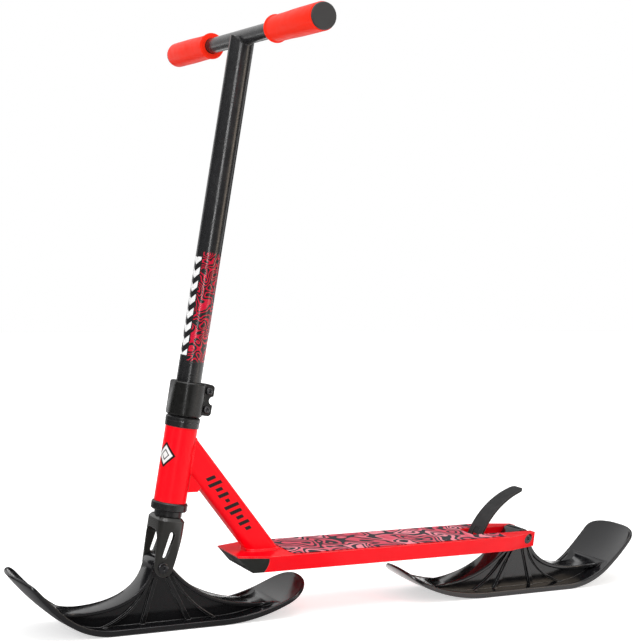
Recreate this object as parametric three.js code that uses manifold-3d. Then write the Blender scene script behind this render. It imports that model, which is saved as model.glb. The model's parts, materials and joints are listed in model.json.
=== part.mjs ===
// A snow scooter: a kick scooter frame that stands on two moulded skis instead of wheels.
// Millimetres, +Z up. The rider faces -Y, and the origin is on the floor midway between the axles.
import * as THREE from 'three';
import { mergeVertices } from 'three/addons/utils/BufferGeometryUtils.js';
import Module from 'manifold-3d';

const wasm = await Module();
wasm.setup();

// Stance
const wheelbase = 605;
const axleHeight = 82.5;
const rakeDegrees = 7.8;
const forkOffset = 7;

// Fits shared by all pieces
const seatGap = 0.3;
const runningGap = 0.6;
const overrun = 20;
const weldTolerance = 0.0005;

// Handlebar, measured along the steering axis above the front axle
const barAxisHeight = 740;
const barHalfWidth = 247;
const crossbarRadius = 11.1;
const crossbarWall = 2;
const uprightRadius = 17.45;
const uprightRecess = 2;
const uprightPlugDepth = 24;
const uprightArchRadius = 18;
const slitWidth = 3;
const uprightSlitLength = 40;

// Grips and end plugs
const gripLength = 136;
const gripFlangeRadius = 19;
const gripFlangeWidth = 3.5;
const gripFlareLength = 30;
const gripWaistRadius = 17.6;
const gripEndRadius = 18.3;
const gripSwellShare = 0.45;
const gripCornerRadius = 1.5;
const plugHeadThickness = 2.5;
const plugHeadRadius = 17.4;
const plugHeadBevel = 0.8;
const plugShankLength = 22;
const plugShankWall = 2.5;

// Bar clamp
const clampHeight = 47;
const clampRadius = 25.5;
const clampFlatDepth = 2.4;
const clampChamfer = 1.6;
const earHalfWidth = 10;
const earReach = 36.5;
const earLift = 3;
const earBossHeight = 18;
const earNotchRadius = 6;
const earCornerRadius = 5;
const clampBoltSetback = 28.5;
const clampBoltRadius = 3;
const clampBoltHeadRadius = 5;
const clampBoltHeadHeight = 5;
const clampBoltSocketRadius = 2.6;
const counterboreDepth = 2.5;

// Head tube and headset
const headTubeBottom = 88;
const headTubeLength = 105;
const headTubeRadius = 22.6;
const headTubeBore = 17.2;
const upperCupHeight = 7.5;
const upperCupRadius = 24;
const lowerCupHeight = 11.5;
const lowerCupRadius = 25.4;
const cupSkirtLength = 9;
const cupWall = 1.6;
const bearingHeight = 6.5;
const upperBearingRadius = 20.6;
const lowerBearingRadius = 22.6;
const bearingBore = 15.4;
const topCapHeight = 7;
const topCapRadius = 24.3;
const topCapBevel = 2.6;
const compressionRingRadius = 18;
const compressionRingFlange = 1.5;
const crownRaceRadius = 19.4;

// Fork and steerer
const steererRadius = 14.3;
const steererBore = 11.1;
const steererTop = 240;
const crownTop = 68;
const crownDepth = 18;
const crownSocketDepth = 13;
const forkHalfWidth = 28;
const forkInnerHalf = 21;
const forkFrontReach = 20.5;
const forkRearReach = 18.5;
const forkBossRadius = 13;
const forkBossSetback = 2.5;
const crownBevel = 4;
const forkCornerRadius = 11;
const forkArchRadius = 12;
const windowTopHeight = 46;
const windowBottomHeight = 16;
const windowTopRadius = 4.2;
const windowBottomRadius = 3.4;
const windowTopSetback = 0;
const windowBottomSetback = -6.2;
const frontWaistShare = 0.9;
const rearWaistShare = 0.72;
const legBendShare = 0.36;

// Compression bolt inside the upright
const compressionCapThickness = 4;
const compressionBoltRadius = 3;
const compressionBoltLength = 34;
const compressionHeadRadius = 5;
const compressionHeadHeight = 6;
const starNutThickness = 5;
const starNutDepth = 22;

// Axle hardware
const axleRadius = 4;
const axleHeadRadius = 7.4;
const axleHeadHeight = 4.4;
const axleSocketRadius = 3;
const axleNutRadius = 7.5;
const axleNutHeight = 7.5;
const bushRadius = 7;
const bushFlangeRadius = 10.5;
const bushFlange = 1.2;
const bushLength = 15;

// Deck
const deckTop = 92;
const deckHeight = 24;
const deckTopHalf = 51.5;
const deckBottomHalf = 43;
const deckWall = 2.8;
const deckWebWall = 3.2;
const noseSetback = 107;
const noseHalfWidth = 35.5;
const noseChamferLength = 45;
const noseUnderSetback = 23;
const noseUnderHalf = 42;
const capReach = 45;
const capJointRadius = 27;
const capJointRise = 16;
const tailOverhang = 17;
const tailLean = 4;
const tailChamferLength = 58;
const tailTopShare = 0.6485;
const tailBottomShare = 0.4854;
const slotLead = 92;
const dropoutLength = 66;
const spotFaceRadius = 8.6;
const spotFaceDepth = 4.4;
const capPlugLength = 16;

// Down tube
const downTubeDegrees = 51.2;
const downTubeWidth = 32;
const downTubeDepth = 38;
const downTubeWall = 3;
const downTubeCorner = 9;
const footSetback = 160.4;
const gussetHalfWidth = 11;
const gussetDrop = 22;
const gussetReach = 16;
const gussetFillShare = 0.55;
const footBead = 3;

// Grip tape
const tapeThickness = 0.8;
const tapeEdgeInset = 5.5;
const tapeFootGap = 6;
const tapeCornerCut = 5;
const tapeSlotMargin = 2.5;
const tapeTailInset = 9;

// Brake
const brakePinLead = 80;
const brakePinDrop = 13;
const brakePinRadius = 2.5;
const brakeEyeRadius = 6;
const brakeHalfWidth = 18.5;
const brakeTipHalf = 14.5;
const brakeThickness = 3.4;
const brakeArcRadius = 124.5;
const brakeArcStartDegrees = 160;
const brakeArcSweep = 54;
const brakeTipRound = 9;
const brakeReliefLength = 20;
const springWireRadius = 0.9;
const springCoilRadius = 3.8;
const springTurns = 5;
const springPitch = 2.4;
const springLegLength = 9;
const springSideGap = 0.5;

// Cap screws
const capScrewRadius = 2;
const capScrewHeadRadius = 3.8;
const capScrewHeadHeight = 2.2;
const capScrewLength = 10;
const capScrewOffset = 12;

// Skis
const skiWaistHalf = 49.6;
const skiNoseHalf = 54.9;
const skiNoseFlat = 76.7;
const skiNoseRadius = 117.4;
const skiNoseDegrees = 37.4;
const skiNoseTipRadius = 355;
const skiNoseTipRun = 86;
const skiNoseScoop = 10.7;
const skiTailHalf = 49.8;
const skiTailFlat = 86;
const skiTailRadius = 258;
const skiTailDegrees = 22.5;
const skiTailTipRadius = 100.7;
const skiTailTipRun = 48.8;
const skiTailScoop = 2;
const skiThickness = 8.5;
const skiFloor = 4;
const skiRimWidth = 5;
const skiNoseRound = 29.4;
const skiTailRound = 48;
const skiRoundPower = 2.3;
const hubRadius = 12.5;
const hubGap = 0.35;
const flangeThickness = 6;
const webHalf = 13.5;
const ribHalf = 18;
const thinRib = 3;
const wideRib = 5.5;
const ribSagShare = 0.6;
const noseCrestDegrees = 169;
const noseCrestReach = 22;
const noseCrestHeight = 31;
const noseValleyReach = 106;
const noseValleyHeight = 28;
const noseBlendLength = 85;
const tailCrestDegrees = 39;
const tailCrestReach = 56;
const tailCrestHeight = 27;
const tailValleyReach = 140;
const tailValleyHeight = 19.5;
const tailBlendLength = 92;
const flareLength = 44;
const runnerGroove = 5;
const runnerDepth = 1.8;
const runnerSpacing = 17;

// Worked out from the sizes above
const rake = THREE.MathUtils.degToRad(rakeDegrees);
const frontAxleY = -wheelbase / 2;
const rearAxleY = wheelbase / 2;
const steeringFootY = frontAxleY + forkOffset * Math.cos(rake);
const steeringFootZ = axleHeight - forkOffset * Math.sin(rake);
const deckBottom = deckTop - deckHeight;
const noseY = frontAxleY + noseSetback;
const tailY = rearAxleY + tailOverhang;
const hubHalf = forkInnerHalf - 2 * hubGap - bushFlange;
const tailHalfWidth = deckTopHalf * tailTopShare;
const tailBottomHalf = deckTopHalf * tailBottomShare;
const spotFaceHalf = tailHalfWidth - spotFaceDepth;
const brakeRelief = springTurns * springPitch / 2 + springWireRadius + springSideGap;

// Materials
function paint(color, roughness, metalness) {
  return new THREE.MeshStandardMaterial({ color, roughness, metalness });
}
const redPaint = paint(0xd8081c, 0.35, 0.1);
const redRubber = paint(0xd01018, 0.6, 0);
const satinBlack = paint(0x1c1c1e, 0.5, 0.2);
const blackPlastic = paint(0x141416, 0.3, 0);
const greyPlastic = paint(0x3c3c3e, 0.6, 0);
const darkSteel = paint(0x2a2a2c, 0.4, 0.8);
const brightSteel = paint(0xa8a9ac, 0.3, 1);
const gritPaper = paint(0x3a2a2e, 0.95, 0);

// A closed geometry as a solid that can be joined and cut
function toSolid(geometry) {
  const bare = new THREE.BufferGeometry();
  bare.setAttribute('position', geometry.getAttribute('position').clone());
  if (geometry.index) bare.setIndex(geometry.index.clone());
  const merged = mergeVertices(bare, weldTolerance);
  const corners = merged.index.array;
  const kept = [];
  for (let i = 0; i < corners.length; i += 3) {
    const [a, b, c] = [corners[i], corners[i + 1], corners[i + 2]];
    if (a !== b && b !== c && c !== a) kept.push(a, b, c);
  }
  const vertProperties = new Float32Array(merged.getAttribute('position').array);
  return new wasm.Manifold(new wasm.Mesh({ numProp: 3, vertProperties, triVerts: new Uint32Array(kept) }));
}

function toGeometry(solid) {
  const mesh = solid.getMesh();
  const geometry = new THREE.BufferGeometry();
  geometry.setAttribute('position', new THREE.BufferAttribute(new Float32Array(mesh.vertProperties), 3));
  geometry.setIndex(new THREE.BufferAttribute(new Uint32Array(mesh.triVerts), 1));
  geometry.computeVertexNormals();
  return geometry;
}

function join(...solids) {
  return solids.reduce((whole, next) => whole.add(next));
}

function cut(solid, ...tools) {
  return tools.reduce((whole, tool) => whole.subtract(tool), solid);
}

function overlap(...solids) {
  return solids.reduce((whole, next) => whole.intersect(next));
}

// An outline, given as a shape or as a list of points, carried along Z
function outline(points) {
  if (points instanceof THREE.Shape) return points;
  return new THREE.Shape(points.map(([a, b]) => new THREE.Vector2(a, b)));
}

function extruded(shape, depth) {
  const settings = { depth, bevelEnabled: false, curveSegments: outlineSteps };
  return new THREE.ExtrudeGeometry(outline(shape), settings);
}

// An outline in Y and Z carried along X
const acrossBasis = new THREE.Matrix4().makeBasis(
  new THREE.Vector3(0, 1, 0), new THREE.Vector3(0, 0, 1), new THREE.Vector3(1, 0, 0));

function across(shape, fromX, toX) {
  const geometry = extruded(shape, toX - fromX).applyMatrix4(acrossBasis);
  return toSolid(geometry.translate(fromX, 0, 0));
}

// An outline in X and Y carried up Z
function upright(shape, fromZ, toZ) {
  return toSolid(extruded(shape, toZ - fromZ).translate(0, 0, fromZ));
}

const lengthwiseBasis = new THREE.Matrix4().makeBasis(
  new THREE.Vector3(1, 0, 0), new THREE.Vector3(0, 0, 1), new THREE.Vector3(0, -1, 0));

// An outline in X and Z carried along Y
function lengthwise(shape, fromY, toY) {
  const geometry = extruded(shape, toY - fromY).applyMatrix4(lengthwiseBasis);
  return toSolid(geometry.translate(0, toY, 0));
}

// A profile of [radius, height] points turned about Z, or about X where it lies across
function turned(profile, segments) {
  const points = profile.map(([radius, height]) => new THREE.Vector2(radius, height));
  return toSolid(new THREE.LatheGeometry(points, segments).rotateX(Math.PI / 2));
}

function turnedAcross(profile, segments) {
  const points = profile.map(([radius, along]) => new THREE.Vector2(radius, along));
  return toSolid(new THREE.LatheGeometry(points, segments).rotateZ(-Math.PI / 2));
}

function rod(radius, from, to) {
  return [[0, from], [radius, from], [radius, to], [0, to]];
}

function ring(inner, outer, from, to) {
  return [[inner, from], [outer, from], [outer, to], [inner, to], [inner, from]];
}

function box(width, depth, height, x, y, z) {
  return toSolid(new THREE.BoxGeometry(width, depth, height).translate(x, y, z));
}

function roundedRectangle(halfWidth, halfHeight, corner) {
  const shape = new THREE.Shape();
  shape.absarc(halfWidth - corner, halfHeight - corner, corner, 0, Math.PI / 2);
  shape.absarc(corner - halfWidth, halfHeight - corner, corner, Math.PI / 2, Math.PI);
  shape.absarc(corner - halfWidth, corner - halfHeight, corner, Math.PI, 3 * Math.PI / 2);
  shape.absarc(halfWidth - corner, corner - halfHeight, corner, 3 * Math.PI / 2, 2 * Math.PI);
  return shape;
}

// A ruled solid between two convex outlines of [x, y] points at two heights
function ruled(lower, upper, lowZ, highZ) {
  const count = lower.length;
  const positions = [];
  for (const [x, y] of lower) positions.push(x, y, lowZ);
  for (const [x, y] of upper) positions.push(x, y, highZ);
  const index = [];
  for (let i = 0; i < count; i += 1) {
    const next = (i + 1) % count;
    index.push(i, next, count + next, i, count + next, count + i);
  }
  for (let i = 1; i < count - 1; i += 1) {
    index.push(0, i + 1, i);
    index.push(count, count + i, count + i + 1);
  }
  const geometry = new THREE.BufferGeometry();
  geometry.setAttribute('position', new THREE.Float32BufferAttribute(positions, 3));
  geometry.setIndex(index);
  return toSolid(geometry);
}

function piece(name, solid, material) {
  const mesh = new THREE.Mesh(toGeometry(solid), material);
  mesh.name = name;
  return mesh;
}

function mirrorX(solid) {
  return solid.mirror([1, 0, 0]);
}

// Facets of round pieces
const roundSteps = 32;
const gripSteps = 28;
const smallSteps = 20;
const boltSteps = 16;
const hexSteps = 6;
const gripBodySteps = 7;
const beadArcSteps = 4;
const outlineSteps = 8;
const sheetSteps = 7;
const sheetColumns = 6;
const roundEndSteps = 6;
const crestSteps = 9;
const blendSteps = 4;
const ribSteps = 5;
const springSteps = 8;
const wireSides = 5;

// Shares of a bolt head
const socketShare = 0.6;
const headBevelShare = 0.15;

// Ribs of the ski: thickness, then shares of the axle's height for the top's place and height, the foot's place
// and the bow
const ribShares = [
  [thinRib, -0.14, 0.86, -1, 0.3],
  [wideRib, -0.07, 0.8, -0.28, 0],
  [wideRib, 0.14, 0.8, 0.56, 0],
  [thinRib, 0.24, 0.82, 1.04, 0.16],
];

const model = new THREE.Group();

// Steering column: everything that turns with the bar, drawn along the steering axis
const column = new THREE.Group();
column.position.set(0, steeringFootY, steeringFootZ);
column.rotation.x = -rake;
model.add(column);

const headTubeTop = headTubeBottom + headTubeLength;
const upperCupTop = headTubeTop + seatGap + upperCupHeight;
const upperBearingTop = headTubeTop + 2 * seatGap + cupWall + bearingHeight;
const compressionRingTop = upperBearingTop + seatGap + compressionRingFlange;
const topCapBottom = upperCupTop + runningGap;
const topCapTop = topCapBottom + topCapHeight;
const clampBottom = topCapTop + runningGap;
const clampTop = clampBottom + clampHeight;
const uprightBottom = clampBottom + uprightRecess;
const steererHole = steererRadius + seatGap;

// Upright of the bar: a steel tube, fish-mouthed round the crossbar and slit at the bottom
function barUpright() {
  const plugFrom = barAxisHeight - uprightPlugDepth;
  const tube = turned([[0, plugFrom], [steererHole, plugFrom], [steererHole, uprightBottom],
    [uprightRadius, uprightBottom], [uprightRadius, barAxisHeight], [0, barAxisHeight]], roundSteps);
  const arch = new THREE.Shape();
  arch.moveTo(-uprightArchRadius, uprightBottom);
  arch.lineTo(uprightArchRadius, uprightBottom);
  arch.absarc(0, barAxisHeight - uprightArchRadius, uprightArchRadius, 0, Math.PI);
  const saddle = turnedAcross(rod(crossbarRadius + seatGap, -overrun, overrun), roundSteps);
  const slit = box(slitWidth, uprightRadius, uprightSlitLength + overrun,
    0, uprightRadius, uprightBottom + (uprightSlitLength - overrun) / 2);
  const arched = overlap(tube, lengthwise(arch, -overrun, overrun));
  return cut(arched, saddle.translate([0, 0, barAxisHeight]), slit);
}
column.add(piece('bar_upright', barUpright(), satinBlack));

// Crossbar: a plain tube across the top
const barEnd = barHalfWidth - plugHeadThickness - seatGap;
const crossbar = piece('crossbar', turnedAcross(
  ring(crossbarRadius - crossbarWall, crossbarRadius, -barEnd, barEnd), roundSteps), satinBlack);
crossbar.position.z = barAxisHeight;
column.add(crossbar);

// Grip: a rubber sleeve with a flange at its inner end, waisted there and fuller at the outer end
function grip() {
  const bore = crossbarRadius + seatGap;
  const start = barEnd - gripLength;
  const flareStart = start + gripFlangeWidth;
  const bodyStart = start + gripFlareLength;
  const bodyLength = gripLength - gripFlareLength - gripCornerRadius;
  const shoulder = (gripFlangeRadius + gripWaistRadius) / 2;
  const profile = [[bore, start], [shoulder, start], [gripFlangeRadius, (start + flareStart) / 2],
    [gripFlangeRadius, flareStart], [shoulder, (flareStart + bodyStart) / 2]];
  for (let i = 0; i <= gripBodySteps; i += 1) {
    const share = i / gripBodySteps;
    const swell = (1 - Math.cos(Math.min(1, share / gripSwellShare) * Math.PI)) / 2;
    const radius = gripWaistRadius + (gripEndRadius - gripWaistRadius) * swell;
    profile.push([radius, bodyStart + share * bodyLength]);
  }
  profile.push([gripEndRadius - gripCornerRadius, barEnd], [bore, barEnd], [bore, start]);
  return turnedAcross(profile, gripSteps);
}

// Plug: closes the end of the bar and of the grip
function barPlug() {
  const shankRadius = crossbarRadius - crossbarWall - seatGap;
  const headStart = barHalfWidth - plugHeadThickness;
  const shankStart = headStart - plugShankLength;
  return turnedAcross([[0, headStart], [shankRadius - plugShankWall, headStart],
    [shankRadius - plugShankWall, shankStart], [shankRadius, shankStart], [shankRadius, headStart],
    [plugHeadRadius, headStart], [plugHeadRadius, barHalfWidth - plugHeadBevel],
    [plugHeadRadius - plugHeadBevel, barHalfWidth], [0, barHalfWidth]], gripSteps);
}

for (const [side, mirrored] of [['left', false], ['right', true]]) {
  const sleeve = mirrored ? mirrorX(grip()) : grip();
  const plug = mirrored ? mirrorX(barPlug()) : barPlug();
  const end = new THREE.Group();
  end.position.z = barAxisHeight;
  end.add(piece(`grip_${side}`, sleeve, redRubber), piece(`bar_plug_${side}`, plug, greyPlastic));
  column.add(end);
}

// Clamp: a split collar with two ears behind it, drawn together by two bolts
const clampBoltHeights = [clampBottom + earLift + earBossHeight / 2, clampTop - earBossHeight / 2];

function barClamp() {
  const body = turned([[0, clampBottom], [clampRadius - clampChamfer, clampBottom],
    [clampRadius, clampBottom + clampChamfer], [clampRadius, clampTop - clampChamfer],
    [clampRadius - clampChamfer, clampTop], [0, clampTop]], roundSteps);
  const middle = (clampBottom + clampTop) / 2;
  const ears = new THREE.Shape();
  const earBottom = clampBottom + earLift;
  ears.moveTo(0, earBottom);
  ears.lineTo(earReach - earCornerRadius, earBottom);
  ears.absarc(earReach - earCornerRadius, earBottom + earCornerRadius, earCornerRadius, -Math.PI / 2, 0);
  const notchHeight = (clampBoltHeights[0] + clampBoltHeights[1]) / 2;
  ears.absarc(earReach, notchHeight, earNotchRadius, 3 * Math.PI / 2, Math.PI / 2, true);
  ears.absarc(earReach - earCornerRadius, clampTop - earCornerRadius, earCornerRadius, 0, Math.PI / 2);
  ears.lineTo(0, clampTop);
  const bore = turned(rod(uprightRadius + seatGap, clampBottom - overrun, clampTop + overrun), roundSteps);
  const slit = box(slitWidth, earReach + overrun, clampHeight + overrun, 0, (earReach + overrun) / 2, middle);
  const flat = box(2 * clampRadius, overrun, clampHeight + overrun,
    0, -clampRadius + clampFlatDepth - overrun / 2, middle);
  const holes = clampBoltHeights.flatMap((height) => [
    turnedAcross(rod(clampBoltRadius + seatGap, -overrun, overrun), boltSteps),
    turnedAcross(rod(clampBoltHeadRadius + seatGap, earHalfWidth - counterboreDepth, overrun), boltSteps),
  ].map((hole) => hole.translate([0, clampBoltSetback, height])));
  return cut(join(body, across(ears, -earHalfWidth, earHalfWidth)), bore, slit, flat, ...holes);
}
column.add(piece('bar_clamp', barClamp(), satinBlack));

// A socket head bolt along X: its shank ends at from and its head seats at to
function socketBolt(radius, headRadius, headHeight, socketRadius, from, to) {
  const socketFloor = to + headHeight - headHeight * socketShare;
  const blank = turnedAcross([[0, from], [radius, from], [radius, to], [headRadius, to],
    [headRadius, to + headHeight * (1 - headBevelShare)],
    [headRadius * (1 - headBevelShare), to + headHeight], [0, to + headHeight]], boltSteps);
  return cut(blank, turnedAcross(rod(socketRadius, socketFloor, to + headHeight + overrun), hexSteps));
}

for (const [index, place] of ['lower', 'upper'].entries()) {
  const seat = earHalfWidth - counterboreDepth + seatGap;
  const bolt = piece(`clamp_bolt_${place}`, socketBolt(clampBoltRadius, clampBoltHeadRadius,
    clampBoltHeadHeight, clampBoltSocketRadius, -earHalfWidth, seat), darkSteel);
  bolt.position.set(0, clampBoltSetback, clampBoltHeights[index]);
  column.add(bolt);
}

// Top cap: a bevelled cover that keeps water out of the upper bearing
const topCap = cut(
  turned([[0, topCapBottom], [topCapRadius, topCapBottom], [topCapRadius, topCapTop - topCapBevel],
    [topCapRadius - topCapBevel, topCapTop], [0, topCapTop]], roundSteps),
  turned(rod(steererHole, topCapBottom - overrun, topCapTop + overrun), roundSteps),
  turned(
    rod(upperBearingRadius + runningGap, topCapBottom - overrun, compressionRingTop + seatGap), roundSteps));
column.add(piece('headset_top_cap', topCap, satinBlack));

// Compression ring: wedges the steerer in the upper bearing
column.add(piece('compression_ring', turned([[steererHole, upperBearingTop - bearingHeight / 2],
  [bearingBore - seatGap, upperBearingTop - bearingHeight / 2],
  [bearingBore - seatGap, upperBearingTop + seatGap],
  [compressionRingRadius, upperBearingTop + seatGap], [compressionRingRadius, compressionRingTop],
  [steererHole, compressionRingTop], [steererHole, upperBearingTop - bearingHeight / 2]],
smallSteps), brightSteel));

// Headset cups, pressed into the ends of the head tube, and their sealed bearings
const skirtRadius = headTubeBore - seatGap;
const upperSeatFloor = headTubeTop + seatGap + cupWall;
column.add(piece('upper_headset_cup', turned([[skirtRadius - cupWall, headTubeTop - cupSkirtLength],
  [skirtRadius, headTubeTop - cupSkirtLength], [skirtRadius, headTubeTop + seatGap],
  [upperCupRadius, headTubeTop + seatGap], [upperCupRadius, upperCupTop],
  [upperBearingRadius + seatGap, upperCupTop],
  [upperBearingRadius + seatGap, upperSeatFloor], [skirtRadius - cupWall, upperSeatFloor],
  [skirtRadius - cupWall, headTubeTop - cupSkirtLength]], roundSteps), satinBlack));
column.add(piece('upper_bearing', turned(
  ring(bearingBore, upperBearingRadius, upperBearingTop - bearingHeight, upperBearingTop),
  smallSteps), brightSteel));

const lowerCupTop = headTubeBottom - seatGap;
const lowerCupBottom = lowerCupTop - lowerCupHeight;
const lowerSeatCeiling = lowerCupTop - cupWall;
const lowerBearingTop = lowerSeatCeiling - seatGap;
const lowerBearingBottom = lowerBearingTop - bearingHeight;
column.add(piece('lower_headset_cup', turned([[lowerBearingRadius + seatGap, lowerCupBottom],
  [lowerCupRadius - cupWall, lowerCupBottom], [lowerCupRadius, lowerCupBottom + cupWall],
  [lowerCupRadius, lowerCupTop - cupWall], [lowerCupRadius - cupWall, lowerCupTop],
  [skirtRadius, lowerCupTop], [skirtRadius, headTubeBottom + cupSkirtLength],
  [skirtRadius - cupWall, headTubeBottom + cupSkirtLength],
  [skirtRadius - cupWall, lowerSeatCeiling], [lowerBearingRadius + seatGap, lowerSeatCeiling],
  [lowerBearingRadius + seatGap, lowerCupBottom]], roundSteps), satinBlack));
column.add(piece('lower_bearing', turned(
  ring(bearingBore, lowerBearingRadius, lowerBearingBottom, lowerBearingTop), smallSteps), brightSteel));

// Crown race: seats on the fork crown and carries the lower bearing
const raceShoulder = lowerCupBottom - runningGap;
column.add(piece('crown_race', turned([[steererHole, crownTop + seatGap],
  [crownRaceRadius, crownTop + seatGap], [crownRaceRadius, raceShoulder],
  [compressionRingRadius, raceShoulder + cupWall], [compressionRingRadius, lowerBearingBottom - seatGap],
  [bearingBore - seatGap, lowerBearingBottom - seatGap],
  [bearingBore - seatGap, lowerBearingBottom + bearingHeight / 2],
  [steererHole, lowerBearingBottom + bearingHeight / 2], [steererHole, crownTop + seatGap]],
roundSteps), satinBlack));

// Fork: a crown with two windowed legs that carry the front axle ahead of the steering axis
function fork() {
  const side = new THREE.Shape();
  side.moveTo(-forkFrontReach, crownTop);
  side.lineTo(-forkFrontReach, crownTop - crownDepth);
  const bossY = forkBossSetback - forkOffset;
  side.quadraticCurveTo(-forkFrontReach * frontWaistShare, crownTop * legBendShare,
    bossY - forkBossRadius, 0);
  side.absarc(bossY, 0, forkBossRadius, Math.PI, 2 * Math.PI);
  side.quadraticCurveTo(forkRearReach * rearWaistShare, crownTop * legBendShare,
    forkRearReach, crownTop - crownDepth / 2);
  side.lineTo(forkRearReach, crownTop);
  const planHalf = (forkFrontReach + forkRearReach) / 2;
  const plan = roundedRectangle(forkHalfWidth, planHalf, forkCornerRadius);
  const shoulderPlan = roundedRectangle(forkHalfWidth - crownBevel, planHalf - crownBevel,
    forkCornerRadius - crownBevel);
  const ringOf = (shape) => shape.getPoints(beadArcSteps).slice(1).map((point) => [point.x, point.y]);
  const legs = upright(ringOf(plan), -2 * forkBossRadius, crownTop - crownBevel);
  const shoulder = ruled(ringOf(plan), ringOf(shoulderPlan), crownTop - crownBevel, crownTop);
  const blank = overlap(across(side, -forkHalfWidth, forkHalfWidth),
    join(legs, shoulder).translate([0, (forkRearReach - forkFrontReach) / 2, 0]));
  const archTop = crownTop - crownDepth;
  const arch = new THREE.Shape();
  arch.moveTo(-forkInnerHalf, -2 * forkBossRadius);
  arch.lineTo(forkInnerHalf, -2 * forkBossRadius);
  arch.absarc(forkInnerHalf - forkArchRadius, archTop - forkArchRadius, forkArchRadius, 0, Math.PI / 2);
  arch.absarc(forkArchRadius - forkInnerHalf, archTop - forkArchRadius, forkArchRadius, Math.PI / 2, Math.PI);
  const slope = Math.atan2(windowTopHeight - windowBottomHeight, windowTopSetback - windowBottomSetback);
  const window = new THREE.Shape();
  window.absarc(windowTopSetback, windowTopHeight, windowTopRadius, slope - Math.PI / 2, slope + Math.PI / 2);
  window.absarc(windowBottomSetback, windowBottomHeight, windowBottomRadius,
    slope + Math.PI / 2, slope + 3 * Math.PI / 2);
  const socket = turned(rod(steererHole, crownTop - crownSocketDepth, crownTop + overrun), roundSteps);
  const axleHole = turnedAcross(rod(axleRadius + seatGap, -2 * forkHalfWidth, 2 * forkHalfWidth), boltSteps);
  return cut(blank, lengthwise(arch, -2 * overrun, 2 * overrun),
    across(window, -2 * forkHalfWidth, 2 * forkHalfWidth), socket, axleHole.translate([0, -forkOffset, 0]));
}
column.add(piece('fork', fork(), satinBlack));

// Steerer: a tube pressed into the crown that runs through the head tube into the bar
column.add(piece('steerer_tube', turned(
  ring(steererBore, steererRadius, crownTop - crownSocketDepth + seatGap, steererTop),
  roundSteps), darkSteel));

// Compression bolt, cap and star nut: they pull the fork up against the headset bearings
const capBottom = steererTop + seatGap;
const boltSeat = capBottom + compressionCapThickness + seatGap;
const nutTop = steererTop - starNutDepth;
column.add(piece('compression_cap', turned(
  ring(compressionBoltRadius + seatGap, steererRadius, capBottom, capBottom + compressionCapThickness),
  smallSteps), darkSteel));
column.add(piece('star_nut', turned(
  ring(compressionBoltRadius + seatGap, steererBore - seatGap, nutTop - starNutThickness, nutTop),
  smallSteps), brightSteel));
const compressionBolt = socketBolt(compressionBoltRadius, compressionHeadRadius, compressionHeadHeight,
  clampBoltSocketRadius, -compressionBoltLength, 0);
const compressionBoltMesh = piece('compression_bolt', compressionBolt, darkSteel);
compressionBoltMesh.rotation.y = -Math.PI / 2;
compressionBoltMesh.position.z = boltSeat;
column.add(compressionBoltMesh);

// Head tube
column.add(piece('head_tube', turned(
  ring(headTubeBore, headTubeRadius, headTubeBottom, headTubeTop), roundSteps), redPaint));

// A place on the column, in the model's frame
function fromColumn(solid) {
  return solid.rotate([-rakeDegrees, 0, 0]).translate([0, steeringFootY, steeringFootZ]);
}

// Down tube: a rounded box tube with a gusset under its top end and a weld bead round its foot
const downTubeSlope = THREE.MathUtils.degToRad(downTubeDegrees);
const footY = frontAxleY + footSetback;
const footHalfLength = downTubeDepth / 2 / Math.sin(downTubeSlope);

function downTube() {
  const along = new THREE.Matrix4().makeBasis(new THREE.Vector3(1, 0, 0),
    new THREE.Vector3(0, Math.sin(downTubeSlope), Math.cos(downTubeSlope)),
    new THREE.Vector3(0, -Math.cos(downTubeSlope), Math.sin(downTubeSlope)));
  const axisLean = Math.tan(rake);
  const reach = (footY - steeringFootY - (deckTop - steeringFootZ) * axisLean)
    / (Math.cos(downTubeSlope) + Math.sin(downTubeSlope) * axisLean);
  const placed = (halfWidth, halfDepth, corner, length) => toSolid(
    extruded(roundedRectangle(halfWidth, halfDepth, corner), length + downTubeDepth)
      .translate(0, 0, -downTubeDepth).applyMatrix4(along).translate(0, footY, deckTop));
  const outside = placed(downTubeWidth / 2, downTubeDepth / 2, downTubeCorner, reach);
  const inside = placed(downTubeWidth / 2 - downTubeWall, downTubeDepth / 2 - downTubeWall,
    downTubeCorner - downTubeWall, reach + overrun);
  const underSlope = 1 / Math.tan(downTubeSlope);
  const tubeRear = steeringFootY + headTubeRadius - (steeringFootZ - deckTop) * axisLean;
  const junctionRise = (footY - footHalfLength - tubeRear) / (axisLean + underSlope);
  const junctionY = footY - footHalfLength - junctionRise * underSlope;
  const junctionZ = deckTop + junctionRise;
  const gusset = across([[junctionY - gussetReach / 2, junctionZ + gussetReach / 2],
    [junctionY - gussetReach / 2, junctionZ - gussetDrop],
    [junctionY + gussetDrop * underSlope * gussetFillShare, junctionZ - gussetDrop],
    [junctionY + gussetDrop * underSlope, junctionZ - gussetDrop * gussetFillShare],
    [junctionY + gussetDrop * underSlope + gussetReach, junctionZ - gussetDrop + gussetReach / 2]],
  -gussetHalfWidth, gussetHalfWidth);
  const beadLower = roundedRectangle(downTubeWidth / 2 + footBead, footHalfLength + footBead, downTubeCorner);
  const beadUpper = roundedRectangle(downTubeWidth / 2, footHalfLength, downTubeCorner);
  const ringPoints = (shape, forward) => shape.getPoints(beadArcSteps).slice(1)
    .map((point) => [point.x, point.y + footY - forward]);
  const bead = ruled(ringPoints(beadLower, 0), ringPoints(beadUpper, footBead * underSlope),
    deckTop + seatGap, deckTop + seatGap + footBead);
  const headHole = fromColumn(turned(
    rod(headTubeRadius + seatGap, headTubeBottom - overrun, headTubeTop + overrun), roundSteps));
  const belowDeck = box(2 * downTubeWidth, 4 * downTubeDepth, 2 * downTubeDepth,
    0, footY, deckTop + seatGap - downTubeDepth);
  return cut(join(outside, gusset, bead), inside, headHole, belowDeck);
}
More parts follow.
